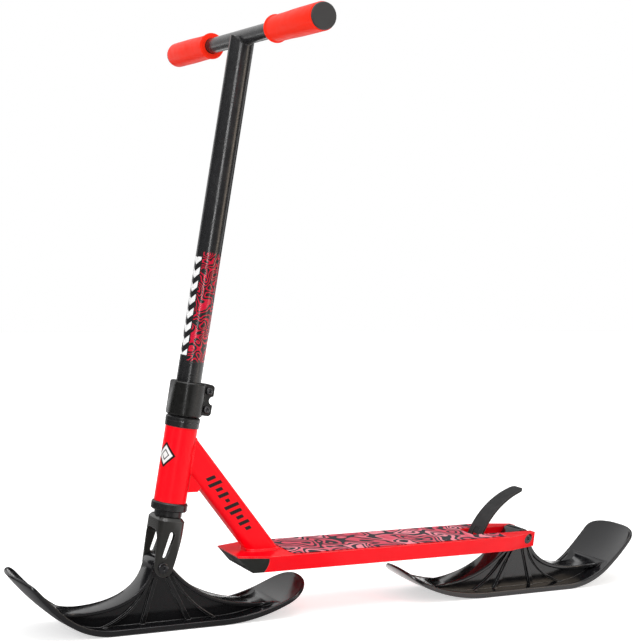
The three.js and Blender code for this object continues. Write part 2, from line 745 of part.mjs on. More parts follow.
model.add(piece('down_tube', downTube(), redPaint));

// Deck form: a box whose sides lean in, chamfered at the nose and at the tail
const slotHalf = forkInnerHalf;
const slotFront = rearAxleY - slotLead;

function mirroredOutline(rightSide) {
  return [...rightSide, ...rightSide.map(([x, y]) => [-x, y]).reverse()];
}

const tailChamferStart = tailY - tailChamferLength;
const deckForm = ruled(
  mirroredOutline([[noseUnderHalf, noseY + noseUnderSetback], [deckBottomHalf, noseY + noseChamferLength],
    [deckBottomHalf, tailChamferStart], [tailBottomHalf, tailY]]),
  mirroredOutline([[noseHalfWidth, noseY], [deckTopHalf, noseY + noseChamferLength],
    [deckTopHalf, tailChamferStart], [tailHalfWidth, tailY - tailLean]]),
  deckBottom, deckTop);

// The space of the nose cap: under the top wall, back to a round joint
function capSpace(gap) {
  const ceiling = deckTop - deckWall - gap;
  const jointY = noseY + capReach - capJointRadius;
  const round = turnedAcross(rod(capJointRadius - gap, -2 * deckTopHalf, 2 * deckTopHalf), roundSteps)
    .translate([0, jointY, deckBottom + capJointRise]);
  const front = box(4 * deckTopHalf, capReach, 2 * deckHeight, 0, jointY - capReach / 2, deckBottom);
  const under = box(4 * deckTopHalf, 4 * capReach, 2 * deckHeight, 0, jointY, ceiling - deckHeight);
  return overlap(join(round, front), under);
}

const chamberFloor = deckBottom + deckWall;
const chamberCeiling = deckTop - deckWall;
const sideLean = (deckTopHalf - deckBottomHalf) / deckHeight;
const brakePinY = rearAxleY - brakePinLead;
const brakePinZ = deckTop - brakePinDrop;

// Holes of the two screws that hold the nose cap, a depth into the deck
const capScrewY = noseY + capReach + capPlugLength / 2;
const capScrewPlaces = [[-capScrewOffset, capScrewY], [capScrewOffset, capScrewY]];

function screwHoles(depth) {
  return capScrewPlaces.map(([x, y]) => turned(
    rod(capScrewRadius + seatGap, deckBottom - overrun, deckBottom + depth), boltSteps).translate([x, y, 0]));
}

// Deck: a box extrusion with three chambers, open at the nose for the cap and slotted at the tail for the ski
function deck() {
  const dropoutStart = tailY - dropoutLength;
  const webOuter = slotHalf + deckWebWall;
  const centre = lengthwise([[-slotHalf, chamberFloor], [slotHalf, chamberFloor],
    [slotHalf, chamberCeiling], [-slotHalf, chamberCeiling]], noseY, slotFront + overrun);
  const side = lengthwise([[webOuter, chamberFloor],
    [deckBottomHalf - deckWall + sideLean * deckWall, chamberFloor],
    [deckTopHalf - deckWall - sideLean * deckWall, chamberCeiling], [webOuter, chamberCeiling]],
  noseY, dropoutStart);
  const slotEnd = tailY + overrun;
  const slot = box(2 * slotHalf, slotEnd - slotFront, 2 * deckHeight, 0, (slotFront + slotEnd) / 2, deckTop);
  const axle = turnedAcross(rod(axleRadius + seatGap, -2 * deckTopHalf, 2 * deckTopHalf), boltSteps);
  const spotFace = turnedAcross(rod(spotFaceRadius, spotFaceHalf, 2 * deckTopHalf), smallSteps);
  const pinHole = turnedAcross(rod(brakePinRadius + seatGap, -webOuter, webOuter), boltSteps);
  return cut(deckForm, capSpace(0), centre, side, mirrorX(side), slot,
    axle.translate([0, rearAxleY, axleHeight]), spotFace.translate([0, rearAxleY, axleHeight]),
    mirrorX(spotFace).translate([0, rearAxleY, axleHeight]),
    pinHole.translate([0, brakePinY, brakePinZ]), ...screwHoles(deckHeight / 2));
}
model.add(piece('deck', deck(), redPaint));

// Nose cap: a moulded plug whose tongue is screwed into the front of the deck
function noseCap() {
  const tongueStart = noseY + capReach - capJointRadius;
  const [half, floor, ceiling] = [slotHalf - seatGap, chamberFloor + seatGap, chamberCeiling - seatGap];
  const tongue = lengthwise([[-half, floor], [half, floor], [half, ceiling], [-half, ceiling]],
    tongueStart, noseY + capReach + capPlugLength);
  return cut(join(overlap(deckForm, capSpace(seatGap)), tongue), ...screwHoles(deckWall + capScrewLength));
}
model.add(piece('deck_nose_cap', noseCap(), blackPlastic));

for (const [index, side] of ['right', 'left'].entries()) {
  const seat = deckBottom - seatGap;
  const headStart = seat - capScrewHeadHeight;
  const screw = turned([[0, headStart], [capScrewHeadRadius * (1 - headBevelShare), headStart],
    [capScrewHeadRadius, seat - capScrewHeadHeight * headBevelShare], [capScrewHeadRadius, seat],
    [capScrewRadius, seat], [capScrewRadius, seat + capScrewLength], [0, seat + capScrewLength]], boltSteps);
  const mesh = piece(`nose_cap_screw_${side}`, screw, darkSteel);
  mesh.position.set(...capScrewPlaces[index], 0);
  model.add(mesh);
}

// Grip tape: a sanded sheet on the deck behind the down tube, forked round the brake slot
const tapeFront = footY + footHalfLength + tapeFootGap;
const tapeHalf = deckTopHalf - tapeEdgeInset;
const tapeSlotHalf = slotHalf + tapeSlotMargin;
const tapeTail = tailChamferStart - tapeTailInset;
const tapeOutline = mirroredOutline([[tapeHalf - tapeCornerCut, tapeFront],
  [tapeHalf, tapeFront + tapeCornerCut], [tapeHalf, tapeTail], [tapeSlotHalf, tapeTail],
  [tapeSlotHalf, slotFront - tapeSlotMargin]]);
model.add(piece('grip_tape',
  upright(tapeOutline, deckTop + seatGap, deckTop + seatGap + tapeThickness), gritPaper));

// Brake fender: a curved strip on a cross pin, sprung up and forward
const brakeArcStart = THREE.MathUtils.degToRad(brakeArcStartDegrees);
const brakeArcEnd = brakeArcStart - THREE.MathUtils.degToRad(brakeArcSweep);
const brakeCentreY = brakePinY - brakeArcRadius * Math.cos(brakeArcStart);
const brakeCentreZ = brakePinZ - brakeArcRadius * Math.sin(brakeArcStart);

function brakeFender() {
  const strip = new THREE.Shape();
  const outerRadius = brakeArcRadius + brakeThickness / 2;
  strip.absarc(brakeCentreY, brakeCentreZ, outerRadius, brakeArcStart, brakeArcEnd, true);
  strip.absarc(brakeCentreY, brakeCentreZ, outerRadius - brakeThickness, brakeArcEnd, brakeArcStart, false);
  const eye = turnedAcross(rod(brakeEyeRadius, -brakeHalfWidth, brakeHalfWidth), smallSteps)
    .translate([0, brakePinY, brakePinZ]);
  const tipY = brakeCentreY + brakeArcRadius * Math.cos(brakeArcEnd);
  const rootY = brakePinY - 2 * brakeEyeRadius;
  const plan = new THREE.Shape();
  plan.moveTo(-brakeHalfWidth, rootY);
  plan.lineTo(brakeHalfWidth, rootY);
  plan.lineTo(brakeTipHalf, tipY - brakeTipRound);
  plan.quadraticCurveTo(brakeTipHalf, tipY, brakeTipHalf - brakeTipRound, tipY);
  plan.lineTo(brakeTipRound - brakeTipHalf, tipY);
  plan.quadraticCurveTo(-brakeTipHalf, tipY, -brakeTipHalf, tipY - brakeTipRound);
  const relief = box(2 * brakeRelief, 4 * brakeEyeRadius, brakeReliefLength + 2 * brakeEyeRadius,
    0, brakePinY, brakePinZ + brakeReliefLength / 2 - brakeEyeRadius);
  const hole = turnedAcross(rod(brakePinRadius + seatGap, -2 * brakeHalfWidth, 2 * brakeHalfWidth), boltSteps)
    .translate([0, brakePinY, brakePinZ]);
  const blank = join(across(strip, -brakeHalfWidth, brakeHalfWidth), eye);
  return cut(overlap(blank, upright(plan, deckBottom, deckTop + brakeArcRadius)), relief, hole);
}
model.add(piece('brake_fender', brakeFender(), greyPlastic));

const brakePinHalf = slotHalf + deckWebWall - seatGap;
const brakePin = piece('brake_pin',
  turnedAcross(rod(brakePinRadius, -brakePinHalf, brakePinHalf), boltSteps), brightSteel);
brakePin.position.set(0, brakePinY, brakePinZ);
model.add(brakePin);

// Least gap between the wire and itself, measured between points half a turn or more apart
function leastGap(route) {
  let least = Infinity;
  for (let i = 0; i < route.length; i += 1) {
    for (let j = i + springSteps / 2; j < route.length; j += 1) {
      const [a, b] = [route[i], route[j]];
      least = Math.min(least, Math.hypot(a.x - b.x, a.y - b.y, a.z - b.z));
    }
  }
  return least - 2 * springWireRadius;
}

// Brake spring: a wire wound round the pin by a formula, with a straight leg at each end
function brakeSpring() {
  const route = [];
  const steps = springTurns * springSteps;
  for (let i = 0; i <= steps; i += 1) {
    const angle = 2 * Math.PI * i / springSteps;
    const x = springPitch * (i / springSteps - springTurns / 2);
    route.push({ x, y: springCoilRadius * Math.cos(angle), z: springCoilRadius * Math.sin(angle), angle });
  }
  console.log('brake spring, least gap to itself (mm):', leastGap(route).toFixed(2));
  route.unshift({ ...route[0], z: -springLegLength });
  route.push({ ...route[steps + 1], z: springLegLength });
  const positions = [];
  for (const { x, y, z, angle } of route) {
    for (let j = 0; j < wireSides; j += 1) {
      const turn = 2 * Math.PI * j / wireSides;
      const outward = springWireRadius * Math.cos(turn);
      positions.push(x + springWireRadius * Math.sin(turn),
        y + outward * Math.cos(angle), z + outward * Math.sin(angle));
    }
  }
  const index = [];
  for (let i = 0; i < route.length - 1; i += 1) {
    for (let j = 0; j < wireSides; j += 1) {
      const [a, b] = [i * wireSides + j, i * wireSides + (j + 1) % wireSides];
      index.push(a, b + wireSides, b, a, a + wireSides, b + wireSides);
    }
  }
  const last = (route.length - 1) * wireSides;
  for (let j = 1; j < wireSides - 1; j += 1) {
    index.push(0, j, j + 1, last, last + j + 1, last + j);
  }
  const geometry = new THREE.BufferGeometry();
  geometry.setAttribute('position', new THREE.Float32BufferAttribute(positions, 3));
  geometry.setIndex(index);
  return toSolid(geometry);
}
const springMesh = piece('brake_spring', brakeSpring(), brightSteel);
springMesh.position.set(0, brakePinY, brakePinZ);
model.add(springMesh);

// Ski sheet: flat in the middle, rising at each end on one arc and then on another
const noseEnd = { toward: -1, half: skiNoseHalf, flat: skiNoseFlat, radius: skiNoseRadius,
  rise: THREE.MathUtils.degToRad(skiNoseDegrees), tipRadius: skiNoseTipRadius, tipRun: skiNoseTipRun,
  scoop: skiNoseScoop, round: skiNoseRound };
const tailEnd = { toward: 1, half: skiTailHalf, flat: skiTailFlat, radius: skiTailRadius,
  rise: THREE.MathUtils.degToRad(skiTailDegrees), tipRadius: skiTailTipRadius, tipRun: skiTailTipRun,
  scoop: skiTailScoop, round: skiTailRound };
const lengthOf = ({ radius, rise, tipRun }) => radius * rise + tipRun;

// Thickness of the sheet at a distance along it: the full rim in the middle, as thin as the floor at the tip
function thicknessAt(end, distance) {
  const share = Math.min(1, distance / lengthOf(end));
  return skiFloor + (skiThickness - skiFloor) * (1 - share ** 2);
}

// Point of the sheet at a distance along its end, raised along its normal
function sheetPoint(end, distance, raise) {
  const first = Math.min(end.rise, distance / end.radius);
  const angle = first + Math.max(0, distance - end.radius * end.rise) / end.tipRadius;
  const along = end.radius * Math.sin(first) + end.tipRadius * (Math.sin(angle) - Math.sin(first));
  const height = end.radius * (1 - Math.cos(first)) + end.tipRadius * (Math.cos(first) - Math.cos(angle));
  return [end.toward * (end.flat + along - raise * Math.sin(angle)), height + raise * Math.cos(angle)];
}
const skiNoseReach = -sheetPoint(noseEnd, lengthOf(noseEnd), 0)[0];
const skiTailReach = sheetPoint(tailEnd, lengthOf(tailEnd), 0)[0];

// Half width of the ski: narrow between the ends, widening along each and rounded off at its tip
function halfAt(end, distance) {
  const straight = lengthOf(end) - end.round;
  const share = Math.min(1, distance / straight);
  const side = skiWaistHalf + (end.half - skiWaistHalf) * share ** 2 * (3 - 2 * share);
  const past = Math.min(1, Math.max(0, distance - straight) / end.round);
  return side * (1 - past ** skiRoundPower) ** (1 / skiRoundPower);
}

// Rows of the sheet along one end, closer together where its tip is rounded
function fullRows(end) {
  const straight = lengthOf(end) - end.round;
  const rows = [];
  for (let i = 0; i < sheetSteps; i += 1) rows.push(straight * i / sheetSteps);
  for (let i = 0; i <= roundEndSteps; i += 1) {
    rows.push(straight + end.round * Math.sin(Math.PI / 2 * i / roundEndSteps) ** (2 / skiRoundPower));
  }
  return rows;
}

// A solid that follows the sheet between two raised faces, its sides dished up towards the ends like a spoon
function skin(rowsOf, widthOf, low, high) {
  const rows = [...rowsOf(noseEnd).map((distance) => [noseEnd, distance]).reverse(),
    ...rowsOf(tailEnd).map((distance) => [tailEnd, distance])];
  const stride = sheetColumns + 1;
  const positions = [];
  for (const raiseAt of [low, high]) {
    for (const [end, distance] of rows) {
      for (let j = 0; j <= sheetColumns; j += 1) {
        const x = widthOf(end, distance) * (2 * j / sheetColumns - 1);
        const dish = end.scoop * distance / lengthOf(end) * (x / end.half) ** 2;
        positions.push(x, ...sheetPoint(end, distance, raiseAt(end, distance) + dish));
      }
    }
  }
  const index = [];
  const quad = (a, b, c, d) => index.push(a, b, c, a, c, d);
  const top = rows.length * stride;
  const lastRow = (rows.length - 1) * stride;
  for (let i = 0; i < lastRow; i += stride) {
    for (let j = i; j < i + sheetColumns; j += 1) {
      quad(top + j, top + j + 1, top + j + 1 + stride, top + j + stride);
      quad(j, j + stride, j + 1 + stride, j + 1);
    }
    const right = i + sheetColumns;
    quad(i, top + i, top + i + stride, i + stride);
    quad(right, right + stride, top + right + stride, top + right);
  }
  for (let j = 0; j < sheetColumns; j += 1) {
    quad(j, j + 1, top + j + 1, top + j);
    quad(lastRow + j, top + lastRow + j, top + lastRow + j + 1, lastRow + j + 1);
  }
  const geometry = new THREE.BufferGeometry();
  geometry.setAttribute('position', new THREE.Float32BufferAttribute(positions, 3));
  geometry.setIndex(index);
  return toSolid(geometry);
}

// A curve between two points in Y and Z, bent towards a third
function bow(start, middle, finish) {
  return new THREE.QuadraticBezierCurve(
    new THREE.Vector2(...start), new THREE.Vector2(...middle), new THREE.Vector2(...finish));
}

// One side of the pylon's crest: off the hub, down to a valley and up along the sheet, lowered by a drop
function crestSide(end, [startDegrees, reach, height], [valleyReach, valleyHeight], blendLength, drop) {
  const start = THREE.MathUtils.degToRad(startDegrees);
  const thickness = thicknessAt(end, blendLength);
  const finish = sheetPoint(end, blendLength, thickness - drop);
  const before = sheetPoint(end, blendLength - thickness, thickness - drop);
  const valley = [end.toward * valleyReach, valleyHeight - drop];
  const share = (finish[1] - valley[1]) / (finish[1] - before[1]);
  const corner = [finish[0] - (finish[0] - before[0]) * share, valley[1]];
  const curve = (points, steps) => bow(...points).getPoints(steps).map((point) => [point.x, point.y]);
  const hubPoint = [(hubRadius - drop) * Math.cos(start), axleHeight + (hubRadius - drop) * Math.sin(start)];
  const slope = curve([hubPoint, [end.toward * reach, height - drop], valley], crestSteps);
  return [...slope, ...curve([valley, corner, finish], blendSteps).slice(1)];
}

function crest(drop) {
  return {
    nose: crestSide(noseEnd, [noseCrestDegrees, noseCrestReach, noseCrestHeight],
      [noseValleyReach, noseValleyHeight], noseBlendLength, drop),
    tail: crestSide(tailEnd, [tailCrestDegrees, tailCrestReach, tailCrestHeight],
      [tailValleyReach, tailValleyHeight], tailBlendLength, drop),
  };
}

// A rib in Y and Z between two places on the pylon's side, bowed towards the hub
function ribBand([topShare, topHeightShare, footShare, bowShare], thickness) {
  const top = [axleHeight * topShare, axleHeight * topHeightShare];
  const foot = [axleHeight * footShare, skiFloor / 2];
  const middle = [(top[0] + foot[0]) / 2 - bowShare * (foot[0] - top[0]),
    (top[1] + foot[1]) / 2 - Math.abs(bowShare) * axleHeight * ribSagShare];
  const curve = bow(top, middle, foot);
  const left = [];
  const right = [];
  for (let i = 0; i <= ribSteps; i += 1) {
    const point = curve.getPoint(i / ribSteps);
    const tangent = curve.getTangent(i / ribSteps);
    left.push([point.x - tangent.y * thickness / 2, point.y + tangent.x * thickness / 2]);
    right.push([point.x + tangent.y * thickness / 2, point.y - tangent.x * thickness / 2]);
  }
  return across([...left, ...right.reverse()], -ribHalf, ribHalf);
}

// Ski: a rimmed sheet with a box pylon, a broad crest flange and fanned ribs up to the hub
function ski() {
  const level = (height) => () => height;
  const plate = skin(fullRows, halfAt, level(0), thicknessAt);
  const upper = crest(0);
  const lower = crest(flangeThickness);
  const core = crest(flangeThickness / 2);
  const last = crestSteps + blendSteps;
  const noseLimit = upper.nose[last][0];
  const tailLimit = upper.tail[last][0];
  const pocketRows = (end) => {
    const reach = (end === noseEnd ? noseBlendLength : tailBlendLength) - flangeThickness / 2;
    return Array.from({ length: sheetSteps + 1 }, (_, i) => reach * i / sheetSteps);
  };
  const pocket = skin(pocketRows, (end, distance) => halfAt(end, distance) - skiRimWidth,
    level(skiFloor), level(skiThickness + overrun));
  const flareHalf = skiWaistHalf - skiRimWidth / 2;
  const flangePlan = new THREE.Shape();
  flangePlan.moveTo(-flareHalf, noseLimit);
  flangePlan.lineTo(flareHalf, noseLimit);
  flangePlan.quadraticCurveTo(hubHalf, noseLimit + flangeThickness, hubHalf, noseLimit + flareLength);
  flangePlan.lineTo(hubHalf, tailLimit - flareLength);
  flangePlan.quadraticCurveTo(hubHalf, tailLimit - flangeThickness, flareHalf, tailLimit);
  flangePlan.lineTo(-flareHalf, tailLimit);
  flangePlan.quadraticCurveTo(-hubHalf, tailLimit - flangeThickness, -hubHalf, tailLimit - flareLength);
  flangePlan.lineTo(-hubHalf, noseLimit + flareLength);
  flangePlan.quadraticCurveTo(-hubHalf, noseLimit + flangeThickness, -flareHalf, noseLimit);
  const strips = [across([...upper.nose, ...[...lower.nose].reverse()], -skiNoseHalf, skiNoseHalf),
    across([...upper.tail, ...[...lower.tail].reverse()], -skiNoseHalf, skiNoseHalf)];
  const flange = overlap(join(...strips), upright(flangePlan, 0, 2 * axleHeight));
  const webOutline = [...[...core.nose].reverse(), ...core.tail, [core.tail[last][0], 0],
    [core.nose[last][0], 0]];
  const web = across(webOutline, -webHalf, webHalf);
  const hub = turnedAcross(rod(hubRadius, -hubHalf, hubHalf), roundSteps).translate([0, 0, axleHeight]);
  const bore = turnedAcross(rod(bushRadius + seatGap, -2 * hubHalf, 2 * hubHalf), smallSteps)
    .translate([0, 0, axleHeight]);
  const fullWidth = () => skiNoseHalf;
  const underside = skin(fullRows, fullWidth, level(-2 * overrun), level(skiFloor / 2));
  const ribs = ribShares.map(([thickness, ...shares]) => ribBand(shares, thickness));
  const pylon = cut(join(flange, web, hub, ...ribs), underside);
  const grooveLength = skiNoseReach + skiTailReach - 2 * (skiNoseRound + skiTailRound);
  const grooves = [-runnerSpacing, runnerSpacing].map((x) => overlap(
    skin(fullRows, fullWidth, level(-runnerDepth), level(runnerDepth)),
    box(runnerGroove, grooveLength, 2 * axleHeight, x, (skiTailReach - skiNoseReach) / 2, 0)));
  return cut(join(cut(plate, pocket), pylon), bore, ...grooves);
}

// Bush: a flanged plastic sleeve in each side of the hub
function bush() {
  const flangeStart = hubHalf + hubGap;
  const flangeEnd = flangeStart + bushFlange;
  const bore = axleRadius + seatGap;
  return turnedAcross([[bore, flangeEnd - bushLength], [bushRadius, flangeEnd - bushLength],
    [bushRadius, flangeStart], [bushFlangeRadius, flangeStart], [bushFlangeRadius, flangeEnd],
    [bore, flangeEnd], [bore, flangeEnd - bushLength]], smallSteps);
}

// Axle: a bolt from the left and a lock nut on the right, clear of the walls that they draw together
function axleNut(seat) {
  const outerFace = -seat - axleNutHeight;
  const blank = turnedAcross([[0, outerFace], [axleNutRadius * (1 - headBevelShare), outerFace],
    [axleNutRadius, -seat - axleNutHeight * (1 - headBevelShare)], [axleNutRadius, -seat], [0, -seat]], hexSteps);
  return cut(blank, turnedAcross(rod(axleRadius + seatGap, -2 * seat, 0), boltSteps));
}

for (const [end, axleY, wallHalf, reversed] of [
  ['front', frontAxleY, forkHalfWidth, false], ['rear', rearAxleY, spotFaceHalf, true]]) {
  const seat = wallHalf + seatGap;
  const shankEnd = -seat - axleNutHeight - seatGap;
  const bolt = socketBolt(axleRadius, axleHeadRadius, axleHeadHeight, axleSocketRadius, shankEnd, seat);
  const axle = new THREE.Group();
  axle.position.set(0, axleY, axleHeight);
  axle.add(piece(`${end}_axle_bolt`, bolt, darkSteel), piece(`${end}_axle_nut`, axleNut(seat), brightSteel),
    piece(`${end}_bush_left`, bush(), greyPlastic), piece(`${end}_bush_right`, mirrorX(bush()), greyPlastic));
  const skiGroup = new THREE.Group();
  skiGroup.position.y = axleY;
  if (reversed) skiGroup.rotation.z = Math.PI;
  skiGroup.add(piece(`${end}_ski`, ski(), blackPlastic));
  model.add(axle, skiGroup);
}

export default model;
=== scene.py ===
import json
import math

import bmesh
import bpy
import numpy as np
from mathutils import Matrix, Vector

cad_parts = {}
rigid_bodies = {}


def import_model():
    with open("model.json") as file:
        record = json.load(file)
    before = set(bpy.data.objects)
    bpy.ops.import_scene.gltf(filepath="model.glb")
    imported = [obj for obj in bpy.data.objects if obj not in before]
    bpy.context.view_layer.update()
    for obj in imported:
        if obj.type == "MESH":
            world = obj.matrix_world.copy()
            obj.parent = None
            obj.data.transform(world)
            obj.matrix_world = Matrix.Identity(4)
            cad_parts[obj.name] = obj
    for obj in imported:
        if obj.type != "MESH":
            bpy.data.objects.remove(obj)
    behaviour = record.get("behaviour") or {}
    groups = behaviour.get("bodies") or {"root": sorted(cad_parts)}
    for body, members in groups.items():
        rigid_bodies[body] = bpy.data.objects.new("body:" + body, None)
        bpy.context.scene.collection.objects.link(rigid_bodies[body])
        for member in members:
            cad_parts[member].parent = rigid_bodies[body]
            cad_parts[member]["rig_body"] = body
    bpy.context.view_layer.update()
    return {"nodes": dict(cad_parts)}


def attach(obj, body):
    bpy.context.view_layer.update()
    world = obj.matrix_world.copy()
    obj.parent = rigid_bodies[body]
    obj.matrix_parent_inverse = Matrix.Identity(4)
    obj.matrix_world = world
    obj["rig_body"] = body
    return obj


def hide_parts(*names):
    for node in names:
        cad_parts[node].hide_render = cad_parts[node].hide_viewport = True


# The bench: Blender's own start objects go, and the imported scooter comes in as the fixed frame. It stands
# on its skis with its left side towards +x and its nose towards -y, in metres.
for start_object in list(bpy.data.objects):
    bpy.data.objects.remove(start_object)
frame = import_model()
mm = 0.001

# The camera stands at the left front of the scooter, at two thirds of its height, and leans with a slight
# roll. Its lens and its small shift give the photograph's frame of 633 by 641 pixels.
photo_width, photo_height = 633, 641
focal_pixels = 1386.69
centre_across, centre_down = 304.9, 313.9
camera_place = (1.7836, -0.9830, 0.5461)
film_width = 36
turned_left, tipped_down, rolled = (math.radians(angle) for angle in (63.24, 3.32, 1.93))
ahead = Vector((-math.sin(turned_left) * math.cos(tipped_down),
                math.cos(turned_left) * math.cos(tipped_down), -math.sin(tipped_down)))
level = Vector((math.cos(turned_left), math.sin(turned_left), 0))
above = level.cross(ahead)
frame_right = level * math.cos(rolled) + above * math.sin(rolled)
frame_up = above * math.cos(rolled) - level * math.sin(rolled)


def set_out(name, data):
    """A new thing in the scene, made of a mesh, a lamp or a lens."""
    thing = bpy.data.objects.new(name, data)
    bpy.context.scene.collection.objects.link(thing)
    return thing


lens = bpy.data.cameras.new("camera")
lens.sensor_width = film_width
lens.lens = focal_pixels / photo_height * film_width
lens.shift_x = (photo_width / 2 - centre_across) / photo_height
lens.shift_y = (centre_down - photo_height / 2) / photo_height
lens.clip_end = 50
camera = set_out("camera", lens)
stand = Matrix((frame_right, frame_up, -ahead)).transposed().to_4x4()
stand.translation = camera_place
camera.matrix_world = stand
bpy.context.scene.camera = camera
bpy.context.scene.view_settings.view_transform = "Standard"

# The studio: a white room that every mirror-like finish sees, softer to matt surfaces than to the lens. One
# wide softbox hangs overhead and one stands on each side. A strip and a thinner one beside the camera draw
# the long bright lines on the tubes.
room_light = 0.62
room = bpy.data.worlds.new("white_room")
bpy.context.scene.world = room
room.use_nodes = True
room_tree = room.node_tree
room_tree.nodes.clear()


def step(tree, kind, settings=(), **feeds):
    """One node in a finish's or the room's tree of nodes. A feed is a number, a colour or an output that is
    linked, and its name is the socket's, or n and the socket's number."""
    made = tree.nodes.new("ShaderNode" + kind)
    for setting, value in dict(settings).items():
        setattr(made, setting, value)
    for name, value in feeds.items():
        key = int(name[1:]) if name[0] == "n" and name[1:].isdigit() else name.replace("_", " ")
        socket = made.inputs[key]
        if isinstance(value, bpy.types.NodeSocket):
            tree.links.new(value, socket)
        else:
            socket.default_value = (*value, 1) if socket.type == "RGBA" else value
    return made


def reckon(operation, first, second=0.0, third=0.0):
    """The output of one arithmetic step on an output and on more outputs or numbers."""
    return step(first.id_data, "Math", {"operation": operation}, n0=first, n1=second, n2=third).outputs[0]


def sharp_rays(tree):
    """1 for the rays that show a thing as it is, from the lens, a mirror-like finish or a clear one, and 0
    for the rest: the largest of the three kinds."""
    kinds = step(tree, "LightPath").outputs
    seen_or_mirrored = reckon("MAXIMUM", kinds["Is Camera Ray"], kinds["Is Glossy Ray"])
    return reckon("MAXIMUM", seen_or_mirrored, kinds["Is Transmission Ray"])


room_strength = step(room_tree, "MapRange", Value=sharp_rays(room_tree), To_Min=room_light, To_Max=1.0)
room_white = step(room_tree, "Background", Color=(1, 1, 1), Strength=room_strength.outputs[0]).outputs[0]
step(room_tree, "OutputWorld", Surface=room_white)


def softbox(name, place, aim, width, height, power):
    """A flat rectangular lamp at a place, facing a point."""
    lamp = bpy.data.lights.new(name, "AREA")
    lamp.shape = "RECTANGLE"
    lamp.size, lamp.size_y, lamp.energy = width, height, power
    holder = set_out(name, lamp)
    holder.matrix_world = (Matrix.Translation(Vector(place))
                           @ (Vector(place) - Vector(aim)).to_track_quat("Z", "Y").to_matrix().to_4x4())
    return holder


softbox("softbox_overhead", (0.5, -0.2, 2.3), (0, 0, 0.3), width=1.8, height=1.4, power=24)
left_box = softbox("softbox_left", (0.3, -2.2, 0.9), (0, -0.2, 0.45), width=0.7, height=1.6, power=12)
left_box.visible_glossy = False
right_box = softbox("softbox_right", (1.6, 1.5, 0.9), (0, 0, 0.4), width=0.5, height=1.5, power=10)
right_box.data.color = (1.0, 0.84, 0.68)
softbox("strip_by_camera", (2.0, -1.18, 1.25), (0, -0.2, 0.5), width=0.2, height=2.1, power=11)
streak_box = softbox("streak_by_camera", (1.99, -1.17, 1.25), (0, -0.2, 0.5), width=0.12, height=2.1, power=7)
streak_box.visible_diffuse = False

# Flats of dark cloth stand round the camera side and behind, where a slit is left between a low and a high
# one, and a grey one lies on the front half of the floor. Only mirror-like reflections see them. They put
# dark bands between the bright lines on the black tubes and mouldings.
flat_radius, flat_top, flat_steps = 3.0, 1.9, 40
slit_low, slit_high, back_flat_top = 0.95, 1.35, 2.5
floor_flat_hole, floor_flat_lift = 1 * mm, 1.5 * mm


def new_finish(name, colour, roughness, metallic=0.0, shine=0.5):
    """A material whose shader already holds all that is the same all over the piece."""
    finish = bpy.data.materials.new(name)
    finish.use_nodes = True
    shader = finish.node_tree.nodes["Principled BSDF"]
    shader.inputs["Base Color"].default_value = (*colour, 1)
    shader.inputs["Roughness"].default_value = roughness
    shader.inputs["Metallic"].default_value = metallic
    shader.inputs["Specular IOR Level"].default_value = shine
    return finish


black_felt = new_finish("black_felt", (0.004, 0.004, 0.004), 0.5, shine=0.0)
grey_felt = new_finish("grey_felt", (0.3, 0.3, 0.3), 0.5, shine=0.0)


def curved_flat(name, first_bearing, last_bearing, low, high, felt):
    """A flat bent round the scooter from one bearing to another, in degrees. Its low and high edges are
    given as radius and height, and the cloth runs straight between them."""
    bearings = np.radians(np.linspace(first_bearing, last_bearing, flat_steps + 1))
    points = np.concatenate([
        np.stack((radius * np.cos(bearings), radius * np.sin(bearings), np.full(flat_steps + 1, height)), 1)
        for radius, height in (low, high)])
    faces = np.arange(flat_steps)[:, None] + np.array((0, 1, flat_steps + 2, flat_steps + 1))
    cloth = bpy.data.meshes.new(name)
    cloth.from_pydata(points.tolist(), [], faces.tolist())
    cloth.materials.append(felt)
    held = set_out(name, cloth)
    held.visible_camera = held.visible_diffuse = held.visible_transmission = held.visible_shadow = False


curved_flat("flat_round_camera", -150, 92, (flat_radius, 0), (flat_radius, flat_top), black_felt)
curved_flat("flat_behind_low", 108, 186, (flat_radius, 0), (flat_radius, slit_low), black_felt)
curved_flat("flat_behind_high", 108, 164, (flat_radius, slit_high), (flat_radius, back_flat_top), black_felt)
curved_flat("flat_on_floor", -182, 2, (floor_flat_hole, floor_flat_lift), (flat_radius, floor_flat_lift),
            grey_felt)

# The floor is a sheet of white paper, just under the skis. It keeps the scooter's soft shadow. For the lens
# and in mirror-like finishes it glows by itself, more with the distance from the scooter, and so ends in
# plain white.
paper_half, paper_drop = 5.0, 0.3 * mm
paper_shade = 0.86
glow_near, glow_far, glow_from, glow_to = 0.55, 1.0, 0.75, 2.2


def ramp(value, starts, ends, low=0.0, high=1.0):
    """Goes with soft ends from low to high while the value goes from where it starts to where it ends."""
    return step(value.id_data, "MapRange", {"interpolation_type": "SMOOTHSTEP"}, n0=value, n1=starts, n2=ends,
                n3=low, n4=high).outputs[0]


def product(first, *others):
    """The product of an output and of more outputs or numbers."""
    for other in others:
        first = reckon("MULTIPLY", first, other)
    return first


def place_in(finish):
    """The place on its piece at which a finish is worked out."""
    return step(finish.node_tree, "TexCoord").outputs["Object"]


